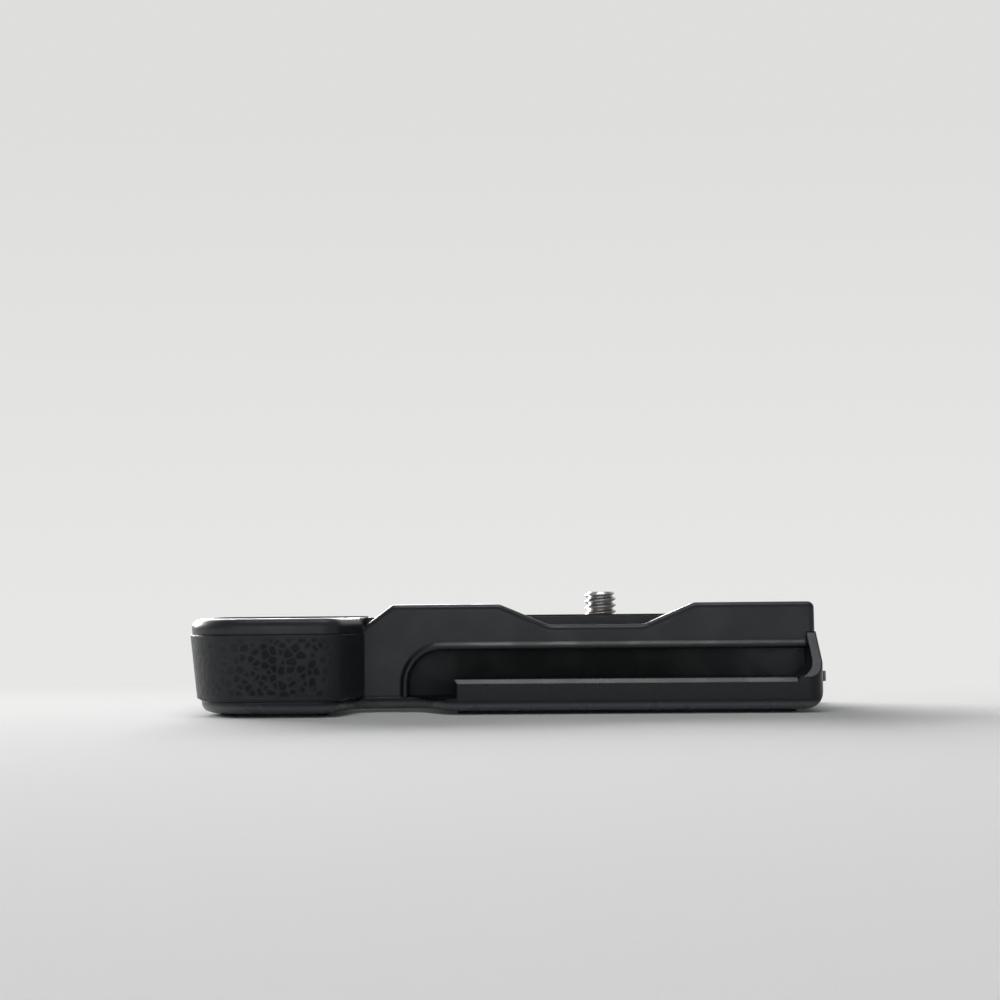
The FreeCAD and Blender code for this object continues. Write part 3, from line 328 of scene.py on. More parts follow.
def build_worn_edges():
    """Edges rounded off in the light, and a mask of where handling has rubbed them."""
    group, given, out = new_group(
        "worn_edges",
        [("Width", SMALL_EDGE), ("Gain", 5.0), ("Patch", 0.004)],
        [("Wear", "Float"), ("Normal", "Vector")],
    )
    bevel = place(group, "Bevel", {"samples": 6})
    surface = place(group, "NewGeometry")
    facing = place(group, "VectorMath", {"operation": "DOT_PRODUCT"})
    turned_away = maths(group, "SUBTRACT", {0: 1.0})
    gained = maths(group, "MULTIPLY")
    spot = place(group, "TexCoord")
    size = maths(group, "DIVIDE", {0: 1.0})
    patches = place(group, "TexNoise", Detail=5.0, Roughness=0.65)
    broken = place(group, "MapRange", From_Min=0.4, From_Max=0.72)
    worn = maths(group, "MULTIPLY", clamp=True)
    join(
        group,
        (given.outputs["Width"], bevel.inputs["Radius"]),
        (bevel.outputs["Normal"], facing.inputs[0]),
        (surface.outputs["Normal"], facing.inputs[1]),
        (facing.outputs["Value"], turned_away.inputs[1]),
        (turned_away.outputs[0], gained.inputs[0]),
        (given.outputs["Gain"], gained.inputs[1]),
        (given.outputs["Patch"], size.inputs[1]),
        (spot.outputs["Object"], patches.inputs["Vector"]),
        (size.outputs[0], patches.inputs["Scale"]),
        (patches.outputs[0], broken.inputs["Value"]),
        (gained.outputs[0], worn.inputs[0]),
        (broken.outputs[0], worn.inputs[1]),
        (worn.outputs[0], out.inputs["Wear"]),
        (bevel.outputs["Normal"], out.inputs["Normal"]),
    )
    return group


def build_fine_grain():
    """The fine surface of a mould or of an anodised casting: a height and a slight mottle."""
    group, given, out = new_group(
        "fine_grain", [("Cell", 0.0003), ("Mottle", 0.5)], [("Height", "Float"), ("Shade", "Float")]
    )
    spot = place(group, "TexCoord")
    scale = maths(group, "DIVIDE", {0: 1.0})
    specks = place(group, "TexNoise", Detail=3.0, Roughness=0.7)
    slow = maths(group, "MULTIPLY", {1: 0.06})
    clouds = place(group, "TexNoise", Detail=4.0, Roughness=0.6)
    centred = maths(group, "SUBTRACT", {1: 0.5})
    shade = maths(group, "MULTIPLY")
    join(
        group,
        (given.outputs["Cell"], scale.inputs[1]),
        (spot.outputs["Object"], specks.inputs["Vector"]),
        (spot.outputs["Object"], clouds.inputs["Vector"]),
        (scale.outputs[0], specks.inputs["Scale"]),
        (scale.outputs[0], slow.inputs[0]),
        (slow.outputs[0], clouds.inputs["Scale"]),
        (specks.outputs[0], out.inputs["Height"]),
        (clouds.outputs[0], centred.inputs[0]),
        (centred.outputs[0], shade.inputs[0]),
        (given.outputs["Mottle"], shade.inputs[1]),
        (shade.outputs[0], out.inputs["Shade"]),
    )
    return group


def build_dust():
    """Fine pale dust that lies on surfaces facing up, and faint finger smears."""
    group, given, out = new_group(
        "dust_and_smears",
        [("Dust", 0.3), ("Smear", 0.008)],
        [("Dust", "Float"), ("Smear", "Float")],
    )
    spot = place(group, "TexCoord")
    surface = place(group, "NewGeometry")
    up = place(group, "SeparateXYZ")
    facing_up = place(group, "MapRange", From_Min=0.35, From_Max=0.95)
    specks = place(group, "TexNoise", Scale=2600.0, Detail=2.0, Roughness=0.8)
    few = place(group, "MapRange", From_Min=0.62, From_Max=0.8)
    lying = maths(group, "MULTIPLY")
    amount = maths(group, "MULTIPLY", clamp=True)
    size = maths(group, "DIVIDE", {0: 1.0})
    smears = place(group, "TexNoise", Detail=3.0, Roughness=0.5, Distortion=0.8)
    soft = soft_step(group, 0.42, 0.68)
    join(
        group,
        (surface.outputs["Normal"], up.inputs[0]),
        (up.outputs["Z"], facing_up.inputs["Value"]),
        (spot.outputs["Object"], specks.inputs["Vector"]),
        (specks.outputs[0], few.inputs["Value"]),
        (few.outputs[0], lying.inputs[0]),
        (facing_up.outputs[0], lying.inputs[1]),
        (lying.outputs[0], amount.inputs[0]),
        (given.outputs["Dust"], amount.inputs[1]),
        (given.outputs["Smear"], size.inputs[1]),
        (spot.outputs["Object"], smears.inputs["Vector"]),
        (size.outputs[0], smears.inputs["Scale"]),
        (smears.outputs[0], soft.inputs["Value"]),
        (amount.outputs[0], out.inputs["Dust"]),
        (soft.outputs[0], out.inputs["Smear"]),
    )
    return group


worn_edges = build_worn_edges()
fine_grain = build_fine_grain()
dust_and_smears = build_dust()


def use_group(tree, group, **inputs):
    """A node that holds the group, with its own values."""
    made = tree.nodes.new("ShaderNodeGroup")
    made.node_tree = group
    for name, value in inputs.items():
        made.inputs[name].default_value = value
    return made


def layer(tree, under, over, mask, share=1.0):
    """One colour laid over another where the mask says, with a share of its strength."""
    mix = place(tree, "Mix", {"data_type": "RGBA"})
    amount = maths(tree, "MULTIPLY", {1: share}, clamp=True)
    join(tree, (mask, amount.inputs[0]), (amount.outputs[0], mix.inputs["Factor"]))
    for value, socket in ((under, mix.inputs[6]), (over, mix.inputs[7])):
        if isinstance(value, tuple):
            socket.default_value = (*value, 1.0)
        else:
            join(tree, (value, socket))
    return mix.outputs[2]


def vary(tree, base, *terms):
    """A number, or a socket, with masks added to it, each by its own amount."""
    total = base
    for mask, amount in terms:
        step = maths(tree, "MULTIPLY_ADD", {1: amount})
        join(tree, (mask, step.inputs[0]))
        if isinstance(total, float):
            step.inputs[2].default_value = total
        else:
            join(tree, (total, step.inputs[2]))
        total = step.outputs[0]
    return total


def source_of(shader, name):
    """The socket that feeds one of a shader's inputs."""
    return shader.inputs[name].links[0].from_socket


def black_finish(
    name,
    black,
    worn,
    roughness,
    cell,
    relief,
    edge=SMALL_EDGE,
    rubbed=0.5,
    dust=0.3,
    mottle=0.5,
    smear=0.12,
):
    """A dark finish with grain, rubbed edges, faint smears and a little dust."""
    material = new_material(name, black, roughness)
    tree, shader = nodes_of(material)
    edges = use_group(tree, worn_edges, Width=edge)
    grain = use_group(tree, fine_grain, Cell=cell, Mottle=mottle)
    touch = use_group(tree, dust_and_smears, Dust=dust)
    lighter = tuple(channel * MOTTLE_GAIN for channel in black)
    colour = layer(tree, black, lighter, grain.outputs["Shade"])
    colour = layer(tree, colour, worn, edges.outputs["Wear"], rubbed)
    colour = layer(tree, colour, DUST_COLOUR, touch.outputs["Dust"])
    rough = vary(
        tree,
        roughness,
        (touch.outputs["Smear"], -smear),
        (edges.outputs["Wear"], -0.08),
        (touch.outputs["Dust"], 0.4),
    )
    bump = place(tree, "Bump", Strength=1.0, Distance=relief)
    join(
        tree,
        (colour, shader.inputs["Base Color"]),
        (rough, shader.inputs["Roughness"]),
        (grain.outputs["Height"], bump.inputs["Height"]),
        (edges.outputs["Normal"], bump.inputs["Normal"]),
        (bump.outputs["Normal"], shader.inputs["Normal"]),
    )
    return material


def finish_with(material, slot, *names):
    """Gives frame nodes a material; the slot argument is not used."""
    for name in names:
        piece = nodes[name]
        piece.data.materials.clear()
        piece.data.materials.append(material)


base_metal = black_finish(
    "satin_black_alloy",
    BASE_BLACK,
    BASE_WORN,
    roughness=0.30,
    cell=0.00022,
    relief=0.000006,
    edge=0.00045,
    rubbed=0.35,
    dust=0.25,
    smear=0.05,
)
tree, shader = nodes_of(base_metal)
shader.inputs["Specular IOR Level"].default_value = BASE_GLOSS
# Painted highlight: the rounding along the lower edge, above the flat underside, is painted paler
# to stand for the floor's light reflected on it.
spot = place(tree, "TexCoord")
apart = place(tree, "SeparateXYZ")
low_edge_band = soft_step(tree, BASE_UNDER + LOW_EDGE_HEIGHT, BASE_UNDER + 0.5 * LOW_EDGE_HEIGHT)
not_underside = place(
    tree, "MapRange", From_Min=BASE_UNDER, From_Max=BASE_UNDER + 0.03 * LOW_EDGE_HEIGHT
)
painted_low_light = maths(tree, "MULTIPLY")
join(
    tree,
    (spot.outputs["Object"], apart.inputs[0]),
    (apart.outputs["Z"], low_edge_band.inputs["Value"]),
    (apart.outputs["Z"], not_underside.inputs["Value"]),
    (low_edge_band.outputs["Result"], painted_low_light.inputs[0]),
    (not_underside.outputs["Result"], painted_low_light.inputs[1]),
)
coat = source_of(shader, "Base Color")
join(tree, (layer(tree, coat, LOW_EDGE_PAINTED_LIGHT, painted_low_light.outputs[0]), shader.inputs["Base Color"]))
finish_with(base_metal, "base_metal", "base_plate")

# Housing: one moulding of black glass-filled plastic with a fine spark-eroded grain, open
# below, with a lip along the front of its seat. The finger groove in its front band is painted
# darker and made rougher, as painted shade in the recess, fading out towards its ends.
HOUSING_BLACK = (0.0172, 0.0186, 0.0214)
HOUSING_WORN = (0.060, 0.060, 0.062)
# Colour, bounds and fading of the painted shade in the finger groove.
GROOVE_PAINTED_SHADE = (0.0048, 0.0054, 0.0066)
GROOVE_ROUGHER = 0.45
GROOVE_MOUTH, GROOVE_WALL = -0.0168, -0.0152
GROOVE_BEHIND, GROOVE_BACK = -0.0125, -0.0130
GROOVE_ABOVE, GROOVE_TOP = -0.0060, -0.0064
GROOVE_SHADE_FADED_RIGHT, GROOVE_SHADE_FULL_RIGHT, LEAST_SHADE_RIGHT = 0.034, 0.010, 0.3
GROOVE_SHADE_FADED_LEFT, GROOVE_SHADE_FULL_LEFT, LEAST_SHADE_LEFT = -0.037, -0.024, 0.5

housing_plastic = black_finish(
    "moulded_black_plastic",
    HOUSING_BLACK,
    HOUSING_WORN,
    roughness=0.40,
    cell=0.00034,
    relief=0.000018,
    edge=0.00055,
    dust=0.35,
)
tree, shader = nodes_of(housing_plastic)
spot = place(tree, "TexCoord")
apart = place(tree, "SeparateXYZ")
join(tree, (spot.outputs["Object"], apart.inputs[0]))
# Mask of the finger groove, which is painted darker as painted shade and made rougher.
groove_shade = None
for axis, outside, inside, least in (
    ("Y", GROOVE_MOUTH, GROOVE_WALL, 0.0),
    ("Y", GROOVE_BEHIND, GROOVE_BACK, 0.0),
    ("Z", GROOVE_ABOVE, GROOVE_TOP, 0.0),
    ("X", GROOVE_SHADE_FADED_RIGHT, GROOVE_SHADE_FULL_RIGHT, LEAST_SHADE_RIGHT),
    ("X", GROOVE_SHADE_FADED_LEFT, GROOVE_SHADE_FULL_LEFT, LEAST_SHADE_LEFT),
):
    within = place(tree, "MapRange", From_Min=outside, From_Max=inside, To_Min=least)
    join(tree, (apart.outputs[axis], within.inputs["Value"]))
    if groove_shade is None:
        groove_shade = within.outputs["Result"]
    else:
        both = maths(tree, "MULTIPLY")
        join(tree, (groove_shade, both.inputs[0]), (within.outputs["Result"], both.inputs[1]))
        groove_shade = both.outputs[0]
join(
    tree,
    (
        layer(tree, source_of(shader, "Base Color"), GROOVE_PAINTED_SHADE, groove_shade),
        shader.inputs["Base Color"],
    ),
    (
        vary(tree, source_of(shader, "Roughness"), (groove_shade, GROOVE_ROUGHER)),
        shader.inputs["Roughness"],
    ),
)
finish_with(housing_plastic, "housing_plastic", "upper_shell")

# Grip skin: black rubber, moulded with a pebbled leather pattern of shallow pits between soft
# ridges. It is glued into a bed round the finger section, so only its rims are plain.
SKIN_CORNER = 0.0124
SKIN_SMALL_CORNER = 0.0048
SKIN_LEAN = 0.001402
SKIN_FLANK_RUN = 0.0132
SKIN_FLANK_SHIFT = 0.003325
SKIN_THICKNESS = 0.0007
SKIN_MESH = 0.0003
SKIN_GLOSS = 0.38
LONG_EDGE = 0.003
PIT_SIZE, PIT_DEPTH = 0.0015, 0.00022
RIDGE_TOP, PIT_FLOOR, SUNK_SHARE = 0.03, 0.22, 0.9
PIT_ROUGHER = 0.3
GRAIN_SIZE, GRAIN_DEPTH = 0.0007, 0.00005
RIM_WIDTH, RIM_ROUND, RIM_ANGLE = 0.0007, 0.00030, 1.1
SKIN_SMOOTH = 50
SIDE_RELIEF = 0.16
SIDE_PLAIN, SIDE_FADE = 0.005, 0.012
SKIN_BLACK = (0.0172, 0.0188, 0.0218)
# Paler colour of the skin's edges: wear and a painted highlight along its rims.
SKIN_WEAR_AND_HIGHLIGHT = (0.060, 0.061, 0.063)
# Colour of the painted shade in the skin's pits.
PIT_PAINTED_SHADE = (0.0108, 0.0118, 0.0138)

skin_low, skin_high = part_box("grip_skin")
skin_height = skin_high.z - skin_low.z
flank_angle = math.atan2(SKIN_FLANK_RUN, SKIN_FLANK_SHIFT)
corner_x = skin_high.x - SKIN_FLANK_SHIFT
tangent = SKIN_SMALL_CORNER * math.tan(flank_angle / 2)
left_start = skin_low.y + SKIN_CORNER
front_start = skin_low.x + SKIN_CORNER
front_end = corner_x - tangent
flank_start = Vector(
    (corner_x + tangent * math.cos(flank_angle), skin_low.y + tangent * math.sin(flank_angle), 0.0)
)
flank_end = Vector((skin_high.x, skin_low.y + SKIN_FLANK_RUN, 0.0))
side_length = skin_high.y - left_start


def cuts_for(length):
    return max(1, round(length / SKIN_MESH) - 1)


def is_level(edge):
    return abs(edge.verts[0].co.z - edge.verts[1].co.z) < 0.1 * NEAR


def cut_long_edges(piece, length, region):
    """Cuts the level edges of one straight stretch into the skin's own mesh width."""

    def is_long(edge):
        return is_level(edge) and edge.calc_length() > LONG_EDGE and region(edge_middle(edge))

    pick(piece, "edges", is_long)
    bpy.ops.mesh.subdivide(number_cuts=cuts_for(length))


deselect_all()
skin_middle = (skin_low.x, (skin_high.y + left_start) / 2, (skin_low.z + skin_high.z) / 2)
bpy.ops.mesh.primitive_plane_add(
    size=1.0, location=skin_middle, rotation=(0.0, math.radians(90), 0.0)
)
skin = bpy.context.object
skin.name = "pebbled_grip_skin"
bpy.ops.object.transform_apply(location=True, rotation=True, scale=True)
edit(skin)
bpy.ops.mesh.select_all(action="SELECT")
bpy.ops.transform.resize(value=(1.0, side_length, skin_height), center_override=skin_middle)
pick(skin, "edges", lambda edge: edge_middle(edge).y < left_start + NEAR)
bpy.ops.mesh.spin(
    steps=round(SKIN_CORNER * math.pi / 2 / SKIN_MESH),
    angle=math.radians(-90),
    axis=(0.0, 0.0, 1.0),
    center=(front_start, left_start, 0.0),
)
bpy.ops.mesh.extrude_region_move(
    TRANSFORM_OT_translate={"value": (front_end - front_start, 0.0, 0.0)}
)
bpy.ops.mesh.spin(
    steps=round(SKIN_SMALL_CORNER * flank_angle / SKIN_MESH),
    angle=-flank_angle,
    axis=(0.0, 0.0, 1.0),
    center=(front_end, skin_low.y + SKIN_SMALL_CORNER, 0.0),
)
bpy.ops.mesh.extrude_region_move(TRANSFORM_OT_translate={"value": flank_end - flank_start})
pick(skin, "verts", lambda vert: vert.co.z < skin_middle[2] and vert.co.x < front_start + NEAR)
bpy.ops.transform.translate(value=(SKIN_LEAN, 0.0, 0.0))
pick(skin, "edges", lambda edge: not is_level(edge))
bpy.ops.mesh.subdivide(number_cuts=cuts_for(skin_height))
cut_long_edges(skin, side_length, lambda middle: middle.y > left_start)
cut_long_edges(skin, front_end - front_start, lambda middle: middle.y < skin_low.y + NEAR)
cut_long_edges(skin, (flank_end - flank_start).length, lambda middle: middle.x > front_end)
bpy.ops.mesh.select_all(action="SELECT")
bpy.ops.mesh.remove_doubles(threshold=0.1 * NEAR)
bpy.ops.mesh.normals_make_consistent(inside=False)
bpy.ops.object.mode_set(mode="OBJECT")


def finish_modifier(piece, kind, settings):
    """Adds a modifier with its settings and applies it."""
    deselect_all()
    piece.select_set(True)
    bpy.context.view_layer.objects.active = piece
    modifier = piece.modifiers.new(kind.lower(), kind)
    for name, value in settings.items():
        setattr(modifier, name, value)
    bpy.ops.object.modifier_apply(modifier=modifier.name)


def round_edges(piece, width, segments=3, least_angle=0.9):
    """Rounds a piece's edges that are sharper than the angle."""
    finish_modifier(
        piece,
        "BEVEL",
        {"width": width, "segments": segments, "limit_method": "ANGLE", "angle_limit": least_angle},
    )


finish_modifier(
    skin,
    "SUBSURF",
    {"levels": 1, "render_levels": 1, "boundary_smooth": "PRESERVE_CORNERS"},
)


def smooth_rise(distance, width):
    """How far along a gentle rise from 0 to 1 the distance is."""
    share = min(max(distance / width, 0.0), 1.0)
    return share * share * (3.0 - 2.0 * share)


relief = skin.vertex_groups.new(name="relief")
for vert in skin.data.vertices:
    from_rim = min(skin_high.z - vert.co.z, vert.co.z - skin_low.z, skin_high.y - vert.co.y)
    if vert.co.x > front_end:
        from_rim = min(from_rim, flank_end.y - vert.co.y)
    from_side = smooth_rise(vert.co.x - skin_low.x - SIDE_PLAIN, SIDE_FADE)
    from_flank = smooth_rise(corner_x - vert.co.x, SKIN_SMALL_CORNER)
    share = SIDE_RELIEF + (1.0 - SIDE_RELIEF) * from_side * from_flank
    relief.add([vert.index], share * smooth_rise(from_rim, 2 * RIM_WIDTH), "REPLACE")

pits = bpy.data.textures.new("pits", "VORONOI")
pits.distance_metric = "DISTANCE"
pits.weight_1, pits.weight_2 = -1.0, 1.0
pits.noise_scale = PIT_SIZE
pits.use_color_ramp = True
pits.color_ramp.interpolation = "EASE"
for end, position, value in zip(pits.color_ramp.elements, (RIDGE_TOP, PIT_FLOOR), (1.0, 0.0)):
    end.position = position
    end.color = (value, value, value, 1.0)
crumble = bpy.data.textures.new("crumble", "CLOUDS")
crumble.noise_scale = GRAIN_SIZE
crumble.noise_depth = 2
unpressed = [vert.co.copy() for vert in skin.data.vertices]
for texture, depth in ((pits, PIT_DEPTH), (crumble, GRAIN_DEPTH)):
    finish_modifier(
        skin,
        "DISPLACE",
        {
            "texture": texture,
            "texture_coords": "LOCAL",
            "strength": depth,
            "mid_level": SUNK_SHARE,
            "vertex_group": "relief",
        },
    )
ridges = skin.data.attributes.new("ridge", "FLOAT", "POINT")
for vert, before in zip(skin.data.vertices, unpressed):
    pressed = (vert.co - before).length
    ridges.data[vert.index].value = 1.0 - smooth_rise(pressed, SUNK_SHARE * PIT_DEPTH)
finish_modifier(skin, "SOLIDIFY", {"thickness": SKIN_THICKNESS, "offset": -1.0})
round_edges(skin, RIM_ROUND, least_angle=RIM_ANGLE)


def smooth_by_angle(piece, degrees=35):
    """Shades a piece smooth, apart from the edges that are sharper than the angle."""
    deselect_all()
    piece.select_set(True)
    bpy.context.view_layer.objects.active = piece
    bpy.ops.object.shade_smooth_by_angle(angle=math.radians(degrees))


def stands_for(piece, body, node, material):
    """Puts a finished piece on its body in the place of its frame node, with its material."""
    piece.data.materials.append(material)
    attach(piece, body)
    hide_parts(node)


smooth_by_angle(skin, SKIN_SMOOTH)

# The skin's edges are painted paler: partly wear, partly a painted highlight along its rims.
grip_rubber = black_finish(
    "pebbled_rubber",
    SKIN_BLACK,
    SKIN_WEAR_AND_HIGHLIGHT,
    roughness=0.50,
    cell=0.00016,
    relief=0.00003,
    rubbed=0.9,
    dust=0.4,
)
tree, shader = nodes_of(grip_rubber)
shader.inputs["Specular IOR Level"].default_value = SKIN_GLOSS
# The pits are painted darker than the ridges, as painted shade in the hollows, and made rougher.
ridge = place(tree, "Attribute", {"attribute_name": "ridge"})
pit_shade = maths(tree, "SUBTRACT", {0: 1.0})
join(tree, (ridge.outputs["Fac"], pit_shade.inputs[1]))
pit_shaded_colour = layer(tree, source_of(shader, "Base Color"), PIT_PAINTED_SHADE, pit_shade.outputs[0])
duller = vary(tree, source_of(shader, "Roughness"), (pit_shade.outputs[0], PIT_ROUGHER))
join(tree, (pit_shaded_colour, shader.inputs["Base Color"]), (duller, shader.inputs["Roughness"]))
stands_for(skin, "grip_body", "grip_skin", grip_rubber)

# Seat pads: soft black rubber sheets glued into shallow beds of the deck, one on the long part
# and one on the finger section. Fine grooves moulded across them keep their load from slipping.
PAD_BORDER = 0.0012
PAD_PITCH = 0.0022
PAD_GROOVE, PAD_GROOVE_DEPTH = 0.0006, 0.0002
PAD_EDGE = 0.00012
FACES_UP = 0.99
SAME_POINT, SAME_PLANE = 0.000001, math.radians(1.0)
PAD_BLACK = (0.0150, 0.0155, 0.0165)
PAD_WORN = (0.040, 0.040, 0.041)


def copy_of(node, name):
    """A merged copy of a frame node's mesh, with its flat faces made whole."""
    piece = bpy.data.objects.new(name, nodes[node].data.copy())
    piece.data.materials.clear()
    bpy.context.scene.collection.objects.link(piece)
    edit(piece)
    bpy.ops.mesh.select_all(action="SELECT")
    bpy.ops.mesh.customdata_custom_splitnormals_clear()
    bpy.ops.mesh.remove_doubles(threshold=2 * SAME_POINT)
    bpy.ops.mesh.dissolve_limited(angle_limit=SAME_PLANE)
    bpy.ops.object.mode_set(mode="OBJECT")
    return piece


def mould_grooves(piece):
    """Sinks straight grooves across the piece's top, inside a plain border."""
    low = Vector(piece.bound_box[0])
    top = Vector(piece.bound_box[6])
    edit(piece)

    def is_the_top(face):
        return face.normal.z > FACES_UP and face.calc_center_median().z > top.z - 0.1 * NEAR

    pick(piece, "faces", is_the_top)
    bpy.ops.mesh.inset(thickness=PAD_BORDER)
    mesh = bmesh.from_edit_mesh(piece.data)
    for face in mesh.faces:
        face.material_index = 1 if face.select else 0
    bmesh.update_edit_mesh(piece.data)
    count = int((top.x - low.x - 2 * PAD_BORDER) / PAD_PITCH)
    first = (low.x + top.x - (count - 1) * PAD_PITCH) / 2
    for middle in (first + k * PAD_PITCH for k in range(count)):
        for x in (middle - PAD_GROOVE / 2, middle + PAD_GROOVE / 2):
            pick(piece, "faces", lambda face: face.material_index == 1)
            bpy.ops.mesh.bisect(
                plane_co=(x, 0.0, 0.0), plane_no=(1.0, 0.0, 0.0), threshold=SAME_POINT
            )

    def in_a_groove(face):
        across = (face.calc_center_median().x - first + PAD_PITCH / 2) % PAD_PITCH - PAD_PITCH / 2
        return face.material_index == 1 and abs(across) < PAD_GROOVE / 2

    pick(piece, "faces", in_a_groove)
    bpy.ops.mesh.extrude_region_move(
        TRANSFORM_OT_translate={"value": (0.0, 0.0, -PAD_GROOVE_DEPTH)}
    )
    mesh = bmesh.from_edit_mesh(piece.data)
    for face in mesh.faces:
        face.material_index = 0
    bmesh.update_edit_mesh(piece.data)
    bpy.ops.object.mode_set(mode="OBJECT")


pad_rubber = black_finish(
    "smooth_black_rubber",
    PAD_BLACK,
    PAD_WORN,
    roughness=0.62,
    cell=0.00020,
    relief=0.000012,
    edge=0.00015,
    rubbed=0.3,
    dust=0.7,
    smear=0.10,
)
for node in ("seat_pad", "grip_seat_pad"):
    sheet = copy_of(node, f"grooved_{node}")
    mould_grooves(sheet)
    round_edges(sheet, PAD_EDGE, segments=2)
    smooth_by_angle(sheet)
    stands_for(sheet, "grip_body", node, pad_rubber)

# Lip pads: two thin strips of the same rubber glued to the inside of the lip, one on each side
# of the lens cutout, so that the lip leaves no marks.
for node in ("left_lip_pad", "right_lip_pad"):
    strip = copy_of(node, f"soft_{node}")
    round_edges(strip, PAD_EDGE)
    smooth_by_angle(strip)
    stands_for(strip, "grip_body", node, pad_rubber)

# Feet: rubber strips glued under the base along its front and back, and a larger pad under the
# grip section, with holes for two screws. Their edges are rounded by the cutting die.
FOOT_BLACK = (0.0110, 0.0112, 0.0115)
FOOT_WORN = (0.050, 0.048, 0.045)
FOOT_EDGE = 0.00022

foot_rubber = black_finish(
    "foot_rubber",
    FOOT_BLACK,
    FOOT_WORN,
    roughness=0.72,
    cell=0.00026,
    relief=0.00002,
    edge=0.00020,
    rubbed=0.4,
    dust=0.6,
    smear=0.05,
)
for node in ("front_foot_strip", "rear_foot_strip", "grip_foot_pad"):
    foot = copy_of(node, f"rounded_{node}")
    round_edges(foot, FOOT_EDGE)
    smooth_by_angle(foot)
    stands_for(foot, "grip_body", node, foot_rubber)

# Camera screw: turned from stainless steel, with a rolled quarter-inch thread of twenty turns to
# the inch above a plain shank. Its shoulder holds it under the deck, its hub fills the wheel.
THREAD_PITCH = 0.00127
THREAD_CREST, THREAD_ROOT = 0.003175, 0.00245
THREAD_STEPS, LATHE_STEPS = 40, 72
THREAD_SMOOTH = 25
TIP_BEVEL = 0.0006
THREAD_FOOT = -0.0003
SHANK = 0.0036
SHOULDER, SHOULDER_TOP, SHOULDER_UNDER = 0.0062, -0.00585, -0.00645
HUB, CLIP_GROOVE, CLIP_TOP, CLIP_UNDER = 0.0040, 0.0035, -0.00995, -0.01045
PIN, PIN_CIRCLE, PIN_DRILL = 0.0006, 0.0050, 0.004
STEEL = (0.60, 0.60, 0.61)
METAL_EDGE, TARNISH, SHINE = 0.00012, 0.55, 1.2


def start_point(name, place_in_space):
    """A new piece, open in edit mode, of a single point."""
    deselect_all()
    bpy.ops.mesh.primitive_plane_add(size=0.001)
    piece = bpy.context.object
    piece.name = name
    edit(piece)
    bpy.ops.mesh.select_all(action="SELECT")
    bpy.ops.mesh.merge(type="CENTER")
    bpy.ops.transform.translate(value=place_in_space)
    return piece


def draw_profile(name, corners):
    """A half profile (radius, level) in the XZ plane, drawn point by point."""
    piece = start_point(name, (corners[0][0], 0.0, corners[0][1]))
    for before, corner in zip(corners, corners[1:]):
        step = (corner[0] - before[0], 0.0, corner[1] - before[1])
        bpy.ops.mesh.extrude_region_move(TRANSFORM_OT_translate={"value": step})
    return piece


def close_up(piece):
    """Merges what meets and turns all faces outwards, back in object mode."""
    edit(piece)
    bpy.ops.mesh.select_all(action="SELECT")
    bpy.ops.mesh.remove_doubles(threshold=SAME_POINT)
    bpy.ops.mesh.normals_make_consistent(inside=False)
    bpy.ops.object.mode_set(mode="OBJECT")


def turned_piece(name, corners):
    """A piece turned about the Z axis from its half profile."""
    piece = draw_profile(name, corners)
    bpy.ops.mesh.select_all(action="SELECT")
    bpy.ops.mesh.spin(
        steps=LATHE_STEPS,
        angle=math.radians(-360),
        axis=(0.0, 0.0, 1.0),
        center=(0.0, 0.0, 0.0),
    )
    close_up(piece)
    return piece


def threaded_rod(name, low, high, root, crest):
    """A closed rod with a right-hand thread between two levels."""
    turns = math.ceil((high - low) / THREAD_PITCH) + 3
    start = low - 1.5 * THREAD_PITCH
    rise = [(root, 0.0), (crest, 0.38), (crest, 0.50), (root, 0.88), (root, 1.0)]
    rod = draw_profile(name, [(radius, start + share * THREAD_PITCH) for radius, share in rise])
    bpy.ops.object.mode_set(mode="OBJECT")
    finish_modifier(
        rod,
        "SCREW",
        {
            "screw_offset": THREAD_PITCH,
            "iterations": turns,
            "steps": THREAD_STEPS,
            "render_steps": THREAD_STEPS,
        },
    )
    close_up(rod)
    edit(rod)
    for level, side in ((low, "clear_inner"), (high, "clear_outer")):
        bpy.ops.mesh.select_all(action="SELECT")
        bpy.ops.mesh.bisect(
            plane_co=(0.0, 0.0, level),
            plane_no=(0.0, 0.0, 1.0),
            use_fill=True,
            threshold=0.1 * SAME_POINT,
            **{side: True},
        )
    close_up(rod)
    return rod


def combine(piece, operation, tool):
    """Cuts or adds a tool, which is then thrown away."""
    finish_modifier(piece, "BOOLEAN", {"operation": operation, "object": tool, "solver": "EXACT"})
    bpy.data.objects.remove(tool)


stud_low, stud_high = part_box("camera_stud")
stud = turned_piece(
    "threaded_camera_stud",
    [
        (0.0, stud_low.z),
        (HUB, stud_low.z),
        (HUB, CLIP_UNDER),
        (CLIP_GROOVE, CLIP_UNDER),
        (CLIP_GROOVE, CLIP_TOP),
        (HUB, CLIP_TOP),
        (HUB, SHOULDER_UNDER),
        (SHOULDER, SHOULDER_UNDER),
        (SHOULDER, SHOULDER_TOP),
        (SHANK, SHOULDER_TOP),
        (SHANK, THREAD_FOOT - (SHANK - THREAD_CREST)),
        (THREAD_CREST, THREAD_FOOT),
        (0.0, THREAD_FOOT),
    ],
)
for side in (-1, 1):
    bpy.ops.mesh.primitive_cylinder_add(
        vertices=32, radius=PIN, depth=PIN_DRILL, location=(side * PIN_CIRCLE, 0.0, SHOULDER_TOP)
    )
    combine(stud, "DIFFERENCE", bpy.context.object)
rod = threaded_rod(
    "rolled_thread", THREAD_FOOT - THREAD_PITCH / 4, stud_high.z, THREAD_ROOT, THREAD_CREST
)
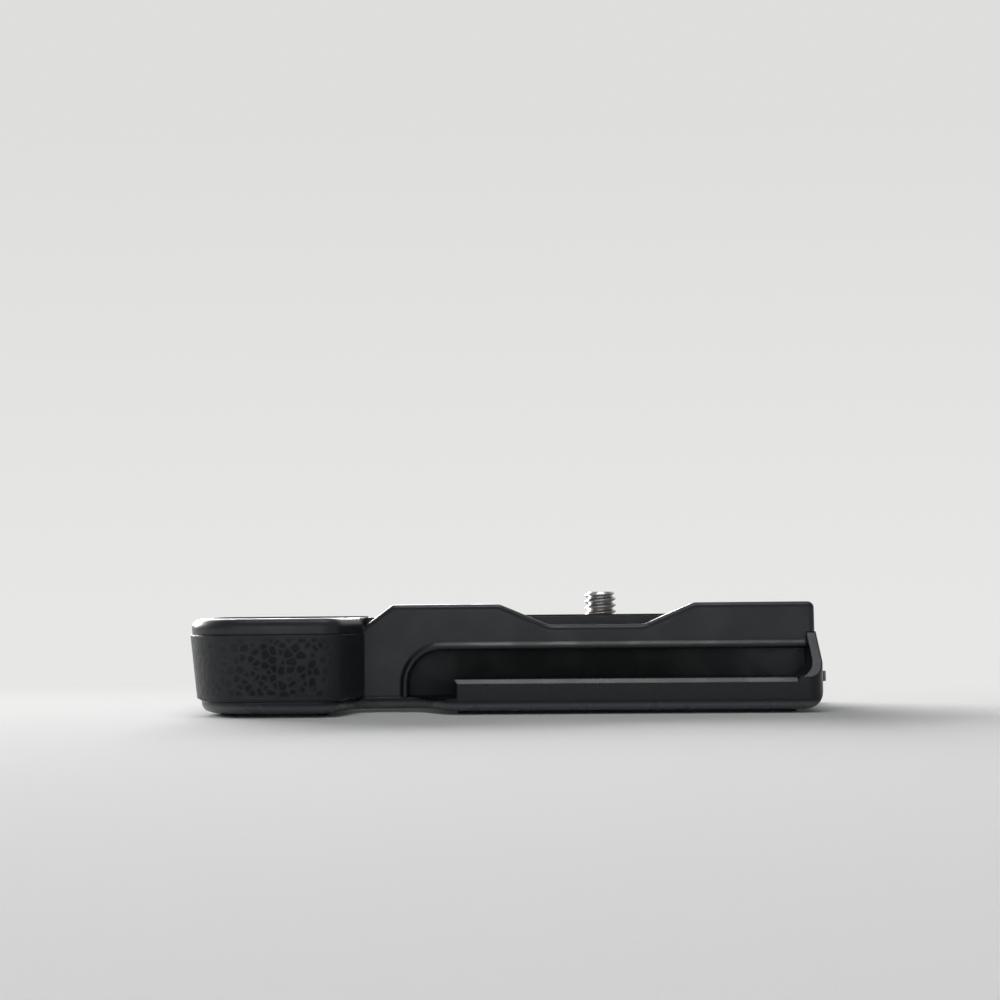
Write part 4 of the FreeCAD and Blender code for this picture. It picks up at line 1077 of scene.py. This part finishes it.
tip = turned_piece(
    "tip_envelope",
    [
        (0.0, THREAD_FOOT - THREAD_PITCH),
        (2 * THREAD_CREST, THREAD_FOOT - THREAD_PITCH),
        (2 * THREAD_CREST, stud_high.z - TIP_BEVEL - THREAD_CREST),
        (THREAD_CREST - TIP_BEVEL, stud_high.z),
        (0.0, stud_high.z),
    ],
)
combine(rod, "INTERSECT", tip)
combine(stud, "UNION", rod)
smooth_by_angle(stud, THREAD_SMOOTH)


def build_turning_marks():
    """The fine rings that a lathe leaves round the screw's axis: a height, and light and dark."""
    group, given, out = new_group(
        "turning_marks",
        [("Pitch", 0.0001), ("Strength", 0.4)],
        [("Height", "Float"), ("Shade", "Float")],
    )
    spot = place(group, "TexCoord")
    apart = place(group, "SeparateXYZ")
    flat = place(group, "CombineXYZ")
    radius = place(group, "VectorMath", {"operation": "LENGTH"})
    round_axis = place(group, "CombineXYZ")
    scale = maths(group, "DIVIDE", {0: 1.0})
    rings = place(group, "TexNoise", Detail=3.0, Roughness=0.6)
    shade = maths(group, "MULTIPLY")
    join(
        group,
        (spot.outputs["Object"], apart.inputs[0]),
        (apart.outputs["X"], flat.inputs["X"]),
        (apart.outputs["Y"], flat.inputs["Y"]),
        (flat.outputs[0], radius.inputs[0]),
        (radius.outputs["Value"], round_axis.inputs["X"]),
        (apart.outputs["Z"], round_axis.inputs["Z"]),
        (given.outputs["Pitch"], scale.inputs[1]),
        (round_axis.outputs[0], rings.inputs["Vector"]),
        (scale.outputs[0], rings.inputs["Scale"]),
        (rings.outputs[0], out.inputs["Height"]),
        (rings.outputs[0], shade.inputs[0]),
        (given.outputs["Strength"], shade.inputs[1]),
        (shade.outputs[0], out.inputs["Shade"]),
    )
    return group


turning_marks = build_turning_marks()


def bare_metal(name, colour, roughness, pitch, relief, shade=0.4, turned=True):
    """A bare or plated metal, darker and lighter along its machining marks, with finger smears and
    paler rubbed edges.
    """
    material = new_material(name, colour, roughness, metallic=1.0)
    tree, shader = nodes_of(material)
    if turned:
        marks = use_group(tree, turning_marks, Pitch=pitch, Strength=shade)
    else:
        marks = use_group(tree, fine_grain, Cell=pitch, Mottle=shade)
    touch = use_group(tree, dust_and_smears, Dust=0.1)
    edges = use_group(tree, worn_edges, Width=METAL_EDGE)
    darker = tuple(channel * TARNISH for channel in colour)
    lighter = tuple(min(1.0, channel * SHINE) for channel in colour)
    tint = layer(tree, colour, darker, marks.outputs["Shade"])
    tint = layer(tree, tint, lighter, edges.outputs["Wear"], 0.5)
    rough = vary(tree, roughness, (marks.outputs["Shade"], 0.2), (touch.outputs["Smear"], 0.08))
    bump = place(tree, "Bump", Strength=1.0, Distance=relief)
    join(
        tree,
        (tint, shader.inputs["Base Color"]),
        (rough, shader.inputs["Roughness"]),
        (marks.outputs["Height"], bump.inputs["Height"]),
        (edges.outputs["Normal"], bump.inputs["Normal"]),
        (bump.outputs["Normal"], shader.inputs["Normal"]),
    )
    return material


screw_steel = bare_metal(
    "turned_screw_steel", STEEL, roughness=0.26, pitch=0.00009, relief=0.000002
)
stands_for(stud, "camera_screw_body", "camera_stud", screw_steel)

# Tripod bush: a stainless steel barrel with an oblong flange, let into the base from above and
# held by two screws. A tripod's quarter-inch screw goes into its thread from below.
BUSH_DEPTH = 0.0050
TAP_ROOT = 0.0024
ENTRY_RADIUS, ENTRY_DEPTH = 0.0036, 0.0005
BUSH_STEEL = (0.56, 0.56, 0.57)

bush_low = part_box("tripod_bush")[0]
tripod_bush = copy_of("tripod_bush", "threaded_tripod_bush")
tap_end = bush_low.z + BUSH_DEPTH - THREAD_PITCH / 4
tap = threaded_rod("tap", bush_low.z - THREAD_PITCH, tap_end, TAP_ROOT, THREAD_CREST)
combine(tripod_bush, "DIFFERENCE", tap)
countersink = turned_piece(
    "countersink",
    [
        (0.0, bush_low.z - ENTRY_DEPTH),
        (ENTRY_RADIUS + ENTRY_DEPTH, bush_low.z - ENTRY_DEPTH),
        (ENTRY_RADIUS - ENTRY_DEPTH, bush_low.z + ENTRY_DEPTH),
        (0.0, bush_low.z + ENTRY_DEPTH),
    ],
)
combine(tripod_bush, "DIFFERENCE", countersink)
smooth_by_angle(tripod_bush, THREAD_SMOOTH)
bush_steel = bare_metal(
    "turned_bush_steel", BUSH_STEEL, roughness=0.30, pitch=0.0001, relief=0.000002
)
stands_for(tripod_bush, "grip_body", "tripod_bush", bush_steel)

# Bearings of the camera screw: a flanged brass bush pressed into the deck, a brass washer below
# the wheel, and a wave washer of spring steel that keeps the screw from rattling.
BRASS = (0.66, 0.47, 0.20)
SPRING_STEEL = (0.34, 0.34, 0.36)

turned_brass = bare_metal("turned_brass", BRASS, roughness=0.30, pitch=0.00010, relief=0.000002)
finish_with(turned_brass, "bearing_brass", "screw_bush", "thrust_washer")
spring_steel = bare_metal(
    "blue_grey_spring_steel", SPRING_STEEL, roughness=0.34, pitch=0.00012, relief=0.000002
)
finish_with(spring_steel, "spring_steel", "wave_washer", "retaining_ring", "drive_pins")

# Brass inserts: knurled sleeves heated into the housing's bosses, which take the cover screws.
INSERT_BRASS = (0.62, 0.45, 0.20)

insert_brass = bare_metal(
    "insert_brass", INSERT_BRASS, roughness=0.38, pitch=0.0003, relief=0.00001, turned=False
)
finish_with(insert_brass, "bearing_brass", "brass_inserts")

# Thumb wheel: turned from light alloy, ridged round its rim and anodised black, with its ridges
# rubbed paler by use. Two pins lock it to the screw's shoulder.
WHEEL_BLACK = (0.012, 0.012, 0.014)
WHEEL_WORN = (0.16, 0.16, 0.165)

wheel_metal = black_finish(
    "black_ridged_alloy",
    WHEEL_BLACK,
    WHEEL_WORN,
    roughness=0.34,
    cell=0.00016,
    relief=0.000004,
    edge=0.00018,
    rubbed=0.8,
    dust=0.2,
)
finish_with(wheel_metal, "wheel_metal", "thumb_wheel")

# Steel plate under the deck with its four screws, the locating dowels and the lug's screws:
# zinc-plated steel, shut in between the housing and the base.
ZINC = (0.52, 0.53, 0.55)

zinc_plate = bare_metal(
    "zinc_plated_steel", ZINC, roughness=0.36, pitch=0.0004, relief=0.000006, turned=False
)
finish_with(
    zinc_plate,
    "plated_steel",
    "chassis_plate",
    "chassis_screws",
    "locating_dowels",
    "lug_screws",
)

# Cover and bush screws: small pan heads with a cross recess, sunk into the base and blacked
# with oxide, which the driver has rubbed off round the recess.
OXIDE_BLACK = (0.014, 0.014, 0.015)
OXIDE_WORN = (0.20, 0.20, 0.205)

black_oxide = black_finish(
    "black_oxide",
    OXIDE_BLACK,
    OXIDE_WORN,
    roughness=0.36,
    cell=0.00014,
    relief=0.000004,
    edge=0.00012,
    rubbed=0.7,
    dust=0.2,
)
finish_with(black_oxide, "black_screws", "cover_screws", "bush_screws")

# Strap lug: a stamped steel tongue with a round eye, blackened, screwed under a block of the
# housing and standing out through the end wall.
LUG_BLACK = (0.016, 0.016, 0.018)
LUG_WORN = (0.24, 0.24, 0.245)

lug_steel = black_finish(
    "blackened_lug_steel",
    LUG_BLACK,
    LUG_WORN,
    roughness=0.34,
    cell=0.00018,
    relief=0.000005,
    edge=0.00022,
    rubbed=0.7,
    dust=0.2,
)
finish_with(lug_steel, "lug_steel", "strap_lug")
